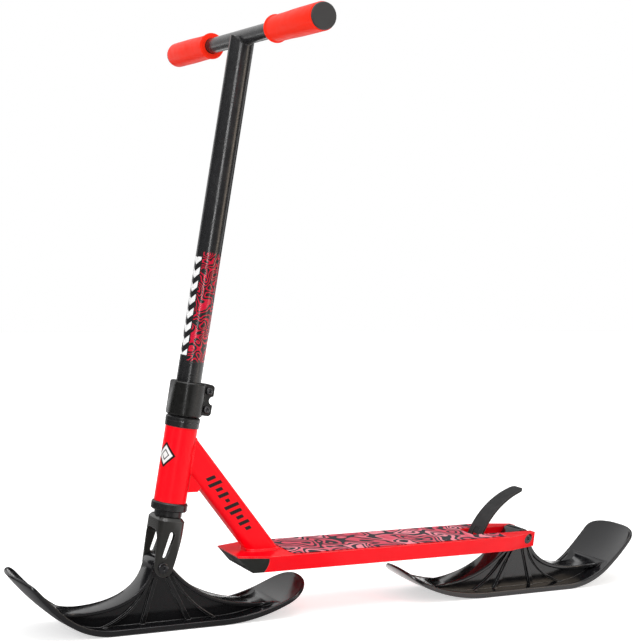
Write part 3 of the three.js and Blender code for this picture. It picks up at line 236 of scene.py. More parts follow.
paper = bpy.data.meshes.new("floor")
paper_corners = np.array(((-1, -1, 0), (1, -1, 0), (1, 1, 0), (-1, 1, 0))) * paper_half - (0, 0, paper_drop)
paper.from_pydata(paper_corners.tolist(), [], [(0, 1, 2, 3)])
floor = set_out("floor", paper)
paper_finish = new_finish("white_paper", (paper_shade, paper_shade, paper_shade), 0.9, shine=0.1)
paper_tree, paper_place = paper_finish.node_tree, place_in(paper_finish)
paper_reach = step(paper_tree, "VectorMath", {"operation": "LENGTH"}, n0=paper_place).outputs["Value"]
paper_fade = ramp(paper_reach, glow_from, glow_to, glow_near, glow_far)
paper_shader = paper_tree.nodes["Principled BSDF"]
paper_shader.inputs["Emission Color"].default_value = (1, 1, 1, 1)
paper_tree.links.new(product(paper_fade, sharp_rays(paper_tree)), paper_shader.inputs["Emission Strength"])
paper.materials.append(paper_finish)

# The deck: a hollow aluminium extrusion with leaning sides, cut to points at nose and tail and slotted for
# the ski. It is powder coated in a gloss red, with a pink highlight painted along its edges.
deck_red = (0.94, 0.0, 0.008)
# A painted highlight: this pink is laid on the coat's edges for the light that they catch.
painted_edge_highlight_pink = (0.95, 0.17, 0.17)


def blend_colour(share, under, over):
    """One colour laid over another by a share."""
    return step(share.id_data, "Mix", {"data_type": "RGBA"}, n0=share, n6=under, n7=over).outputs[2]


def work_surface(finish, colour, worn_and_lit_edge_colour, mottle, grain, depth, edge, rough):
    """The wear, painted edge highlights and texture that every finish shares. Colour drifts by the mottle
    share with a broad noise, and roughness goes from one value to the other with a patchy one. A noise of the
    grain's size and depth gives the bump. Edges are rounded by the edge length, and the lighter edge colour
    shows there in patches, where the cosine between the rounded normal and the flat one has fallen far
    enough. It is edge wear, and on the frame's red coat a painted highlight."""
    drift_scale, drift_range = 14.0, (0.25, 0.75)
    patch_scale, patch_range = 90.0, (0.3, 0.7)
    least_worn_and_lit, worn_and_lit_patches, worn_and_lit_cosines = 0.35, (0.35, 0.6), (0.8, 0.99)
    edge_tries, bump_share = 6, 0.6
    tree, place = finish.node_tree, place_in(finish)
    drift = step(tree, "TexNoise", Vector=place, Scale=drift_scale, Detail=3.0).outputs[0]
    patches = step(tree, "TexNoise", Vector=place, Scale=patch_scale, Detail=4.0).outputs[0]
    grit = step(tree, "TexNoise", Vector=place, Scale=1 / grain, Detail=2.0).outputs[0]
    rounded = step(tree, "Bevel", {"samples": edge_tries}, Radius=edge).outputs[0]
    flat = step(tree, "NewGeometry").outputs["True Normal"]
    lean = step(tree, "VectorMath", {"operation": "DOT_PRODUCT"}, n0=rounded, n1=flat).outputs["Value"]
    # The lighter edge colour: edge wear, and on the frame's red coat a painted highlight.
    worn_and_lit_edges = product(ramp(lean, *worn_and_lit_cosines, 1.0, 0.0), ramp(patches, *worn_and_lit_patches, least_worn_and_lit))
    shade = ramp(drift, *drift_range, 1 - mottle, 1 + mottle)
    tinted = step(tree, "VectorMath", {"operation": "SCALE"}, n0=colour, Scale=shade).outputs[0]
    bump = step(tree, "Bump", Height=grit, Distance=depth, Normal=rounded, Strength=bump_share).outputs[0]
    shader = tree.nodes["Principled BSDF"]
    tree.links.new(blend_colour(worn_and_lit_edges, tinted, worn_and_lit_edge_colour), shader.inputs["Base Color"])
    tree.links.new(ramp(patches, *patch_range, *rough), shader.inputs["Roughness"])
    tree.links.new(bump, shader.inputs["Normal"])
    return finish


def powder_coat(finish, colour, edge):
    """The frame's coat on a finish, in one colour or a printed one, with a pink highlight painted on the
    edges.
    """
    return work_surface(finish, colour, painted_edge_highlight_pink,
                        mottle=0.04, grain=1.6 * mm, depth=0.004 * mm, edge=edge, rough=(0.28, 0.34))


red_coat = powder_coat(new_finish("red_powder_coat", deck_red, 0.3, shine=0.16), deck_red, 1.7 * mm)


def dress(node, finish):
    """A CAD node whose flat faces are right takes a finish as it is."""
    for held in frame["nodes"][node].material_slots:
        held.material = finish


def body_of(node):
    """The body that a CAD node belongs to."""
    return frame["nodes"][node]["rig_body"]


def stand_for(piece, node):
    """A finished piece takes a CAD node's place: it rides on that node's body, and the node is hidden."""
    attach(piece, body_of(node))
    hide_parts(node)
    return piece


def shaded_round(shape, name, finish, crease):
    """A piece made from a worked shape: it is shaded round, and only the edges that turn more than the
    crease angle, in degrees, stay sharp."""
    for face in shape.faces:
        face.smooth = True
    for edge in shape.edges:
        edge.smooth = len(edge.link_faces) == 2 and edge.calc_face_angle(0) < math.radians(crease)
    mesh = bpy.data.meshes.new(name)
    shape.to_mesh(mesh)
    shape.free()
    mesh.materials.append(finish)
    return set_out(name, mesh)


def smoothed(node, finish, crease=32):
    """The CAD node's shape with its triangles joined up: points closer than the touch are merged, and a new
    piece of it stands for the node."""
    touch = 0.002 * mm
    shape = bmesh.new()
    shape.from_mesh(frame["nodes"][node].data)
    bmesh.ops.remove_doubles(shape, verts=shape.verts, dist=touch)
    bmesh.ops.dissolve_degenerate(shape, edges=shape.edges, dist=touch)
    return stand_for(shaded_round(shape, node + "_finished", finish, crease), node)


smoothed("deck", red_coat)

# The nose cap: a moulded plug of dark plastic with a round joint. It closes the front of the deck and is
# held from below by two screws of blackened steel.
cap_green_grey = (0.008, 0.01, 0.008)


def one_colour(name, colour, worn_and_lit_edge_colour, roughness, metallic=0.0, shine=0.5, **wear):
    """A finish of one colour, with its wear and its lighter edges."""
    return work_surface(new_finish(name, colour, roughness, metallic, shine), colour, worn_and_lit_edge_colour, **wear)


cap_plastic = one_colour(
    "cap_plastic", cap_green_grey, (0.13, 0.14, 0.13), 0.5,
    mottle=0.12, grain=0.5 * mm, depth=0.03 * mm, edge=0.8 * mm, rough=(0.42, 0.6))
smoothed("deck_nose_cap", cap_plastic)

blackened = (0.05, 0.05, 0.053)
blackened_steel = one_colour(
    "blackened_steel", blackened, (0.3, 0.3, 0.3), 0.35, metallic=0.8,
    mottle=0.15, grain=0.3 * mm, depth=0.004 * mm, edge=0.5 * mm, rough=(0.14, 0.22))
for screw in ("nose_cap_screw_left", "nose_cap_screw_right"):
    smoothed(screw, blackened_steel)

# The grip tape: a sheet of sanded paper glued to the deck, printed in pink and red on dark grey. The print
# is a plain contour-line pattern. The grit is a coarse grain that breaks it up.
tape_grey = (0.04, 0.04, 0.046)
print_pink = (0.86, 0.27, 0.33)
print_red = (0.72, 0.1, 0.15)
hill_spread, lines_a_hill, line_width = 36 * mm, 8.0, 0.23
pink_from, pink_full = 0.47, 0.56
grit_size, grit_shade, grit_from, grit_full = 0.7 * mm, 0.8, 0.2, 0.6


def contour_lines(place, spread, lines, thickness):
    """Contour lines of a smooth noise: its height times the number of lines, folded back at each half, is
    within the thickness of a line. Gives 1 on a line and 0 between two lines, and the height itself."""
    soft_edge, winding = 0.05, 0.35
    hills = step(place.id_data, "TexNoise", Vector=place, Scale=1 / spread, Detail=0.0,
                 Distortion=winding).outputs[0]
    fold = reckon("PINGPONG", product(hills, lines), 0.5)
    return ramp(fold, thickness, thickness + soft_edge, 1.0, 0.0), hills


tape_finish = new_finish("printed_grit", tape_grey, 0.9, shine=0.2)
tape_place = place_in(tape_finish)
tape_lines, tape_hills = contour_lines(tape_place, hill_spread, lines_a_hill, line_width)
tape_bands = ramp(tape_hills, pink_from, pink_full)
tape_ink = blend_colour(tape_bands, print_red, print_pink)
tape_grit = step(tape_finish.node_tree, "TexVoronoi", Vector=tape_place, Scale=1 / grit_size)
tape_flecks = ramp(tape_grit.outputs["Distance"], grit_from, grit_full, grit_shade)
tape_colour = blend_colour(product(tape_lines, tape_flecks), tape_grey, tape_ink)
work_surface(tape_finish, tape_colour, (0.1, 0.09, 0.09),
             mottle=0.1, grain=0.45 * mm, depth=0.2 * mm, edge=0.3 * mm, rough=(0.8, 0.95))
dress("grip_tape", tape_finish)

# The down tube: a rounded box tube cut to the head tube and welded to it and to the deck, then coated with
# the deck in one go. A row of slanted black bars is printed along each side of it.
rake = math.radians(7.8)
steering_foot = np.array((0.0, -295.565, 81.55)) * mm
steering_axis = np.array((0.0, math.sin(rake), math.cos(rake)))
leftward = np.array((1.0, 0, 0))
tube_slope = math.radians(51.2)
tube_foot = np.array((0.0, -142.1, 92.0)) * mm
up_tube = np.array((0.0, -math.cos(tube_slope), math.sin(tube_slope)))
over_tube = np.array((0.0, math.sin(tube_slope), math.cos(tube_slope)))
tube_half_width, tube_half_depth, tube_corner = 16 * mm, 19 * mm, 9 * mm
weld_radius, weld_pitch, weld_ripple, weld_sides, weld_points = 1.7 * mm, 3.2 * mm, 0.16, 8, 120
head_weld_reach, foot_weld_height = 22.9 * mm, 93.2 * mm
bars_pitch, bars_width, bars_slant, bars_blur, bars_soft = 10.5 * mm, 0.6, 0.35, 0.06, 0.4 * mm
bars_from, bars_to, bars_longest, bars_variety = 4 * bars_pitch, 14 * bars_pitch, 15.3 * mm, 3.7
ink_black = (0.012, 0.01, 0.01)


def measured_along(place, origin, direction):
    """How far a point lies from the origin along a direction, as their dot product."""
    tree = place.id_data
    away = step(tree, "VectorMath", {"operation": "SUBTRACT"}, n0=place, n1=tuple(origin)).outputs[0]
    along = step(tree, "VectorMath", {"operation": "DOT_PRODUCT"}, n0=away, n1=tuple(direction))
    return along.outputs["Value"]


def inside(value, low, high, soft):
    """1 between two limits and 0 outside them, with an edge as wide as the soft length."""
    return product(ramp(value, low, low + soft), ramp(value, high - soft, high, 1.0, 0.0))


def off_from(value, centre):
    """How far a value is from a centre, to either side."""
    return reckon("ABSOLUTE", reckon("SUBTRACT", value, centre))


def ring_shell(rings, loops_back=False):
    """A skin over a stack of closed rings: each point joins the next one in its ring and the same two in
    the ring after. Flat faces close both ends, or the last ring joins the first."""
    count, around = rings.shape[:2]
    steps = count if loops_back else count - 1
    i, j = (grid.ravel() for grid in np.meshgrid(np.arange(steps), np.arange(around), indexing="ij"))
    after_i, after_j = (i + 1) % count, (j + 1) % around
    faces = np.stack((i * around + j, i * around + after_j,
                      after_i * around + after_j, after_i * around + j), 1).tolist()
    if not loops_back:
        faces += [list(range(around)), list(range(steps * around, count * around))]
    return rings.reshape(-1, 3), faces


def assembled(name, shells, finish, crease=40):
    """One piece of several closed skins, with points that touch merged and all faces turned outward."""
    touch = 0.001 * mm
    points, faces = [], []
    for shell_points, shell_faces in shells:
        start = sum(len(part) for part in points)
        points.append(shell_points)
        faces += [[start + corner for corner in face] for face in shell_faces]
    loose = bpy.data.meshes.new(name)
    loose.from_pydata(np.concatenate(points).tolist(), [], faces)
    shape = bmesh.new()
    shape.from_mesh(loose)
    bpy.data.meshes.remove(loose)
    bmesh.ops.remove_doubles(shape, verts=shape.verts, dist=touch)
    bmesh.ops.recalc_face_normals(shape, faces=shape.faces)
    return shaded_round(shape, name, finish, crease)


def weld_bead(path, radius):
    """A bead along a closed path, with each ring square to it. At the length s along the path its radius is
    the given one times 1 + ripple |sin(pi s / pitch)|."""
    ahead_of = np.roll(path, -1, 0) - np.roll(path, 1, 0)
    tangent = ahead_of / np.linalg.norm(ahead_of, axis=1, keepdims=True)
    length = np.cumsum(np.linalg.norm(path - np.roll(path, 1, 0), axis=1))
    sideways = np.cross(tangent, path.mean(0) - path)
    sideways /= np.linalg.norm(sideways, axis=1, keepdims=True)
    inward = np.cross(sideways, tangent)
    size = radius * (1 + weld_ripple * np.abs(np.sin(np.pi * length / weld_pitch)))
    turn = 2 * np.pi * np.arange(weld_sides) / weld_sides
    rings = path[:, None] + size[:, None, None] * (
        np.cos(turn)[:, None] * sideways[:, None] + np.sin(turn)[:, None] * inward[:, None])
    return ring_shell(rings, loops_back=True)


def rounded_box_outline(half_width, half_height, corner, count):
    """Points round a rounded rectangle, one on each of a number of even rays: where the ray leaves the
    rectangle that lies inside by the corner's radius, plus that radius along the ray."""
    turn = 2 * np.pi * (np.arange(count) + 0.5) / count
    across, up = np.cos(turn), np.sin(turn)
    reach = np.minimum((half_width - corner) / np.maximum(np.abs(across), 1e-6),
                       (half_height - corner) / np.maximum(np.abs(up), 1e-6))
    return (reach + corner)[:, None] * np.stack((across, up), 1)


tube_outline = rounded_box_outline(tube_half_width, tube_half_depth, tube_corner, weld_points)
tube_section = tube_foot + tube_outline[:, :1] * leftward + tube_outline[:, 1:] * over_tube
# Each line of the tube's side runs up to the weld's reach from the steering axis: t is the smaller root of
# |start + t way|² = reach², with the start and the way both measured square to the axis.
from_axis = tube_section - steering_foot
square_start = from_axis - (from_axis @ steering_axis)[:, None] * steering_axis
square_way = up_tube - (up_tube @ steering_axis) * steering_axis
way_squared = square_way @ square_way
start_on_way = square_start @ square_way
still_to_go = (square_start ** 2).sum(1) - head_weld_reach ** 2
run_up = (-start_on_way - np.sqrt(np.maximum(start_on_way ** 2 - way_squared * still_to_go, 0))) / way_squared
top_weld = tube_section + run_up[:, None] * up_tube
run_down = (foot_weld_height - tube_section[:, 2]) / up_tube[2]
foot_weld = tube_section + run_down[:, None] * up_tube

tube_finish = new_finish("red_tube_coat", deck_red, 0.3, shine=0.16)
tube_place = place_in(tube_finish)
up_length = measured_along(tube_place, tube_foot, up_tube)
over_length = measured_along(tube_place, tube_foot, over_tube)
slanted = reckon("MULTIPLY_ADD", over_length, bars_slant, up_length)
bar_count = reckon("DIVIDE", slanted, bars_pitch)
bar_phase = reckon("FRACT", bar_count)
bar_number = reckon("FLOOR", bar_count)
bar_lengths = step(tube_finish.node_tree, "TexNoise", {"noise_dimensions": "1D"}, W=bar_number,
                   Scale=bars_variety, Detail=0.0).outputs[0]
bar_reach = reckon("SUBTRACT", product(bar_lengths, bars_longest), reckon("ABSOLUTE", over_length))
bar_bands = inside(bar_phase, 0.0, bars_width, bars_blur)
bar_span = inside(slanted, bars_from, bars_to, bars_soft)
bar_mask = product(bar_bands, ramp(bar_reach, 0.0, bars_soft), bar_span)
tube_colour = blend_colour(bar_mask, deck_red, ink_black)
powder_coat(tube_finish, tube_colour, 0.9 * mm)
smoothed("down_tube", tube_finish)
tube_beads = [weld_bead(path, weld_radius) for path in (top_weld, foot_weld)]
tube_welds = assembled("down_tube_welds", tube_beads, red_coat, crease=80)
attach(tube_welds, body_of("down_tube"))

# The head tube: a short round tube that holds the headset, coated with the frame. A plain white diamond
# with a dark outline, and a dark line within, is printed on its front. Its lines are shares of its size.
badge_height, badge_half_height, badge_half_width = 153 * mm, 18 * mm, 17 * mm
head_tube_radius = 22.6 * mm
badge_centre = math.radians(-70) * head_tube_radius
badge_outline, badge_field, badge_line, badge_soft = (0.96, 1.04), (0.72, 0.78), (0.3, 0.46), 0.04
badge_white = (0.8, 0.78, 0.78)


def round_the_column(finish, radius):
    """Height along the steering axis, the length round it, which is the angle from the left side times the
    radius, and the place in the column's own frame."""
    turned = step(finish.node_tree, "Mapping", {"vector_type": "TEXTURE"}, Vector=place_in(finish),
                  Location=tuple(steering_foot), Rotation=(-rake, 0, 0)).outputs[0]
    axes = step(finish.node_tree, "SeparateXYZ", Vector=turned).outputs
    return axes["Z"], product(reckon("ARCTAN2", axes["Y"], axes["X"]), radius), turned


badge_finish = new_finish("red_coat_with_badge", deck_red, 0.3, shine=0.16)
badge_up, badge_round = round_the_column(badge_finish, head_tube_radius)[:2]
up_share = reckon("DIVIDE", off_from(badge_up, badge_height), badge_half_height)
side_share = reckon("DIVIDE", off_from(badge_round, badge_centre), badge_half_width)
diamond = reckon("ADD", up_share, side_share)
dark_part = ramp(diamond, *badge_outline, 1.0, 0.0)
white_part = ramp(diamond, *badge_field, 1.0, 0.0)
dark_line = inside(diamond, *badge_line, badge_soft)
badge_base = blend_colour(dark_part, deck_red, ink_black)
badge_face = blend_colour(white_part, badge_base, badge_white)
badge_colour = blend_colour(dark_line, badge_face, ink_black)
powder_coat(badge_finish, badge_colour, 0.9 * mm)
smoothed("head_tube", badge_finish)

# The headset: black anodised cups and a cap round two sealed bearings, with a race on the fork's crown. The
# cups are pressed into the head tube, and a bolt down the steerer tube draws it all together.
anodised = (0.014, 0.014, 0.0145)
black_anodised = one_colour(
    "black_anodised", anodised, (0.12, 0.12, 0.12), 0.3, shine=0.4,
    mottle=0.1, grain=0.6 * mm, depth=0.01 * mm, edge=0.5 * mm, rough=(0.22, 0.34))
for ring_node in ("headset_top_cap", "upper_headset_cup", "lower_headset_cup", "crown_race"):
    smoothed(ring_node, black_anodised)

bright = (0.56, 0.56, 0.58)
plated_steel = one_colour(
    "plated_steel", bright, (0.75, 0.75, 0.76), 0.25, metallic=1.0,
    mottle=0.06, grain=0.4 * mm, depth=0.01 * mm, edge=0.3 * mm, rough=(0.2, 0.34))
for steel_node in ("compression_ring", "upper_bearing", "lower_bearing", "star_nut"):
    smoothed(steel_node, plated_steel)
for dark_node in ("steerer_tube", "compression_cap", "compression_bolt"):
    smoothed(dark_node, blackened_steel)

# The fork: one casting with a crown and two windowed legs, painted a satin black. It turns in the headset
# and holds the front axle in the ends of its legs.
fork_black = (0.02, 0.0195, 0.018)
satin_casting = one_colour(
    "satin_casting", fork_black, (0.1, 0.1, 0.1), 0.3,
    mottle=0.15, grain=0.9 * mm, depth=0.012 * mm, edge=1.8 * mm, rough=(0.12, 0.2))
smoothed("fork", satin_casting)

# The bar: two steel tubes, the upright fish-mouthed and welded under the crossbar, in satin black paint.
# Red contour lines are printed round the lower half of the upright, with a column of white chevrons at its
# front.
bar_black = (0.016, 0.016, 0.017)
upright_radius = 17.45 * mm
crossbar_radius, mouth_radius, crossbar_height = 11.1 * mm, 18 * mm, 740 * mm
print_from, print_to, print_fade = 284 * mm, 438 * mm, 3 * mm
swirl_spread, swirl_lines, swirl_width = 15 * mm, 7.5, 0.17
chevron_centre, chevron_half = math.radians(-80) * upright_radius, 8.5 * mm
chevron_pitch, chevron_share, chevron_slope, chevron_blur = 19 * mm, 0.55, -0.8, 0.05
chevron_margin, chevron_soft, chevron_fade, swirl_gap = 8 * mm, 0.4 * mm, 1 * mm, 1 * mm
line_red = (0.56, 0.002, 0.03)
chevron_white = (0.8, 0.8, 0.8)
satin_paint = one_colour(
    "satin_bar_paint", bar_black, (0.1, 0.1, 0.1), 0.34, shine=0.55,
    mottle=0.12, grain=1.2 * mm, depth=0.003 * mm, edge=0.6 * mm, rough=(0.22, 0.3))

bar_print = new_finish("printed_bar_paint", bar_black, 0.34, shine=0.55)
print_up, print_round, print_spot = round_the_column(bar_print, upright_radius)
print_band = inside(print_up, print_from, print_to, print_fade)
swirls = contour_lines(print_spot, swirl_spread, swirl_lines, swirl_width)[0]
off_column = off_from(print_round, chevron_centre)
swirl_zone = ramp(off_column, chevron_half + swirl_gap, chevron_half + 2 * swirl_gap)
swirl_mask = product(swirls, swirl_zone, print_band)
chevron_run = reckon("MULTIPLY_ADD", off_column, chevron_slope, print_up)
chevron_phase = reckon("FRACT", reckon("DIVIDE", chevron_run, chevron_pitch))
chevron_bands = inside(chevron_phase, 0.0, chevron_share, chevron_blur)
chevron_column = ramp(off_column, chevron_half - chevron_soft, chevron_half, 1.0, 0.0)
chevron_span = inside(print_up, print_from + chevron_margin, print_to - chevron_margin, chevron_fade)
chevron_mask = product(chevron_bands, chevron_column, chevron_span)
lined = blend_colour(swirl_mask, bar_black, line_red)
printed = blend_colour(chevron_mask, lined, chevron_white)
work_surface(bar_print, printed, (0.1, 0.1, 0.1),
             mottle=0.1, grain=1.2 * mm, depth=0.003 * mm, edge=0.6 * mm, rough=(0.22, 0.3))
smoothed("bar_upright", bar_print)
smoothed("crossbar", satin_paint)

# The two tubes are welded all round the fish mouth. The bead lies on the crossbar, a little off its face.
# At the angle a round the bar the mouth's arch has a half width of sqrt(mouth² - (mouth - bar sin a)²).
bead_radius, bead_lift = 1.3 * mm, 0.2 * mm
mouth_angle = np.linspace(0, np.pi, 60)
mouth_wide = np.sqrt(mouth_radius ** 2 - (mouth_radius - crossbar_radius * np.sin(mouth_angle)) ** 2)
mouth_deep = (crossbar_radius + bead_lift) * np.cos(mouth_angle)
mouth_high = crossbar_height - (crossbar_radius + bead_lift) * np.sin(mouth_angle)
mouth_loop = np.concatenate((np.stack((mouth_wide, mouth_deep, mouth_high), 1),
                             np.stack((-mouth_wide, mouth_deep, mouth_high), 1)[-2:0:-1]))
fore_axis = np.array((0.0, math.cos(rake), -math.sin(rake)))
mouth_path = (steering_foot + mouth_loop[:, :1] * leftward + mouth_loop[:, 1:2] * fore_axis
              + mouth_loop[:, 2:] * steering_axis)
bar_weld = assembled("bar_weld", [weld_bead(mouth_path, bead_radius)], satin_paint, crease=80)
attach(bar_weld, body_of("bar_upright"))

# The clamp: a split collar of forged aluminium with two ears behind. Two socket bolts draw it together
# round the foot of the upright.
clamp_black = (0.011, 0.011, 0.0105)
clamp_coat = one_colour(
    "clamp_coat", clamp_black, (0.08, 0.08, 0.08), 0.26, shine=0.3,
    mottle=0.12, grain=0.8 * mm, depth=0.006 * mm, edge=1.2 * mm, rough=(0.2, 0.3))
smoothed("bar_clamp", clamp_coat)
for clamp_bolt in ("clamp_bolt_lower", "clamp_bolt_upper"):
    smoothed(clamp_bolt, blackened_steel)

# The grips: soft red rubber sleeves pushed onto the bar, each with a round lip at its inner end, a waist
# behind it and a fuller outer end. A plastic plug closes each open end.
grip_red = (0.9, 0.022, 0.006)
grip_rubber = one_colour(
    "grip_rubber", grip_red, (0.95, 0.1, 0.04), 0.5, shine=0.1,
    mottle=0.04, grain=0.6 * mm, depth=0.03 * mm, edge=0.6 * mm, rough=(0.36, 0.46))
plug_grey = (0.028, 0.028, 0.0295)
plug_plastic = one_colour(
    "plug_plastic", plug_grey, (0.14, 0.14, 0.14), 0.55,
    mottle=0.1, grain=0.4 * mm, depth=0.03 * mm, edge=0.5 * mm, rough=(0.48, 0.62))
grip_start, grip_end, grip_bore = 108.2 * mm, 244.2 * mm, 11.4 * mm
lip_radius, lip_half, waist_radius, full_radius = 19 * mm, 1.75 * mm, 17.6 * mm, 18.3 * mm
fall_run, swell_run, end_rounding = 26 * mm, 50 * mm, 1.8 * mm
grip_sides = 96


def turned_about_bar(profile):
    """A closed profile of radius and place along the bar, turned about the crossbar's axis."""
    turn = 2 * np.pi * np.arange(grip_sides) / grip_sides
    centre = steering_foot + crossbar_height * steering_axis
    return centre + profile[:, 1:] * leftward + profile[:, :1] * (
        np.cos(turn)[:, None, None] * fore_axis + np.sin(turn)[:, None, None] * steering_axis)


def grip_profile():
    """The lip is half a circle in section. The waist comes in by a cube over the fall's run, the body
    swells by a cosine over the swell's run and then goes level to a rounded end."""
    half_circle = np.linspace(-np.pi / 2, np.pi / 2, 11)
    lip = np.stack((lip_radius - lip_half + lip_half * np.cos(half_circle),
                    grip_start + lip_half + lip_half * np.sin(half_circle)), 1)
    share = np.linspace(0, 1, 24)[1:]
    fall = np.stack((waist_radius + (lip_radius - lip_half - waist_radius) * (1 - share) ** 3,
                     grip_start + 2 * lip_half + fall_run * share), 1)
    swell = np.stack((waist_radius + (full_radius - waist_radius) * (1 - np.cos(np.pi * share)) / 2,
                      grip_start + 2 * lip_half + fall_run + swell_run * share), 1)
    quarter = np.linspace(0, np.pi / 2, 7)
    end = np.stack((full_radius - end_rounding * (1 - np.cos(quarter)),
                    grip_end - end_rounding * (1 - np.sin(quarter))), 1)
    bore = np.array(((grip_bore, grip_end), (grip_bore, grip_start)))
    return np.concatenate((lip, fall, swell, end, bore))


for side, mirror in (("left", 1), ("right", -1)):
    sleeve_points = turned_about_bar(grip_profile())
    sleeve_points[..., 0] *= mirror
    sleeve = ring_shell(sleeve_points, loops_back=True)
    grip = assembled("rubber_grip_" + side, [sleeve], grip_rubber, crease=60)
    stand_for(grip, "grip_" + side)
    smoothed("bar_plug_" + side, plug_plastic)

# The skis: each is one moulding of gloss black plastic. A plate that turns up like a spoon at both ends
# carries a rim, a box web with fanned ribs, a broad flange on the web's crest and a hub on the axle. Its
# sizes are in mm.
ski_black = (0.008, 0.008, 0.009)
ski_plastic = one_colour(
    "ski_plastic", ski_black, (0.11, 0.11, 0.11), 0.22,
    mottle=0.15, grain=1.4 * mm, depth=0.003 * mm, edge=1.3 * mm, rough=(0.1, 0.17))
axle_height, axle_reach = 82.5, 302.5
nose_end = dict(toward=-1, half=54.9, flat=76.7, radius=117.4, rise=math.radians(37.4), tip_radius=355.0,
                tip_run=86.0, scoop=10.7, round=29.4, blend=85.0)
tail_end = dict(toward=1, half=49.8, flat=86.0, radius=258.0, rise=math.radians(22.5), tip_radius=100.7,
                tip_run=48.8, scoop=2.0, round=48.0, blend=92.0)
waist_half, rim_height, floor_height, rim_width = 49.6, 8.5, 4.0, 5.0
tip_power, pocket_run_out = 2.3, 16
sole_rounding, rim_rounding, pocket_inset = 1.2, 1.6, 6.5
pocket_wall = ((3.9, 0.0), (4.5, 0.06), (4.9, 0.24), (5.2, 0.72), (5.6, 0.93), (pocket_inset, 1.0))
groove_depth, groove_reach, groove_run_out, groove_least_half = 1.8, 170, 12, 24
groove_steps = ((0.0, 0.0, 0), (14.5, 0.5, 0), (14.9, 0.52, 1), (19.1, 0.68, 1), (19.5, 0.7, 0))
flange_thickness, flange_corner, flange_flare, flange_pull = 6.0, 1.7, 44.0, 6.0
foot_run, foot_thin, foot_sunk = 10, 0.5, 0.4
web_half, web_bore, web_bore_reach, web_short, web_least = 13.5, 10.0, 11.5, 1, 0.2
rib_half, rib_lean = 18.0, 0.6
hub_radius, hub_bore, hub_half, hub_rounding, hub_sides = 12.5, 7.4, 19.1, 1, 72


def smooth_share(value):
    """The smooth step of a value held between 0 and 1: v² (3 - 2 v)."""
    value = np.clip(value, 0, 1)
    return value ** 2 * (3 - 2 * value)


def length_of(end):
    """The length of an end along its two arcs."""
    return end["radius"] * end["rise"] + end["tip_run"]


def plate_point(station, x, lift):
    """The plate's centre line is flat in the middle and rises at each end on two arcs, one after the other.
    A point lies at its lift along the line's normal, plus the scoop, which grows with the distance and x²."""
    station, x, lift = np.broadcast_arrays(station, x, lift)
    y, z = station.astype(float).copy(), lift.astype(float).copy()
    for end in (nose_end, tail_end):
        distance = station * end["toward"] - end["flat"]
        here = distance > 0
        d = distance[here]
        first = np.minimum(end["rise"], d / end["radius"])
        angle = first + np.maximum(0, d - end["radius"] * end["rise"]) / end["tip_radius"]
        on = end["radius"] * np.sin(first) + end["tip_radius"] * (np.sin(angle) - np.sin(first))
        up = end["radius"] * (1 - np.cos(first)) + end["tip_radius"] * (np.cos(first) - np.cos(angle))
        raised = lift[here] + end["scoop"] * d / length_of(end) * (x[here] / end["half"]) ** 2
        y[here] = end["toward"] * (end["flat"] + on - raised * np.sin(angle))
        z[here] = up + raised * np.cos(angle)
    return np.stack((x.astype(float), y, z), -1)


def rim_at(station):
    """The rim's height, full in the middle. It falls with the distance squared to the floor's at a tip."""
    height = np.full(np.shape(station), rim_height)
    for end in (nose_end, tail_end):
        share = np.clip((station * end["toward"] - end["flat"]) / length_of(end), 0, 1)
        height = height - (rim_height - floor_height) * share ** 2
    return height


def pocket_at(station):
    """The pocket's depth below the rim, run out by a smooth step before the flange's foot at each end."""
    depth = rim_at(station) - floor_height
    for end in (nose_end, tail_end):
        left_over = end["flat"] + end["blend"] - station * end["toward"]
        depth = depth * smooth_share(left_over / pocket_run_out)
    return depth


def plate_outline():
    """The plan of the plate as stations and half widths, clockwise from the nose tip: the sides widen by a
    smooth step, and each tip is the quarter of a superellipse on each side."""
    halves = []
    quarter = np.linspace(0, np.pi / 2, 36)
    for end in (nose_end, tail_end):
        straight = length_of(end) - end["round"]
        tip = straight + end["round"] * np.sin(quarter) ** (2 / tip_power)
        along = np.concatenate((np.linspace(0, straight, 40)[:-1], tip))
        past = np.clip((along - straight) / end["round"], 0, 1)
        half = (waist_half + (end["half"] - waist_half) * smooth_share(along / straight)) * (
            1 - past ** tip_power) ** (1 / tip_power)
        half[-1] = 0
        halves.append((end["toward"] * (end["flat"] + along), half))
    middle = np.linspace(-nose_end["flat"], tail_end["flat"], 14)[1:-1]
    station = np.concatenate((halves[0][0][::-1], middle, halves[1][0]))
    half = np.concatenate((halves[0][1][::-1], np.full(len(middle), waist_half), halves[1][1]))
    return np.concatenate((np.stack((station, half), 1), np.stack((station, -half), 1)[-2:0:-1]))


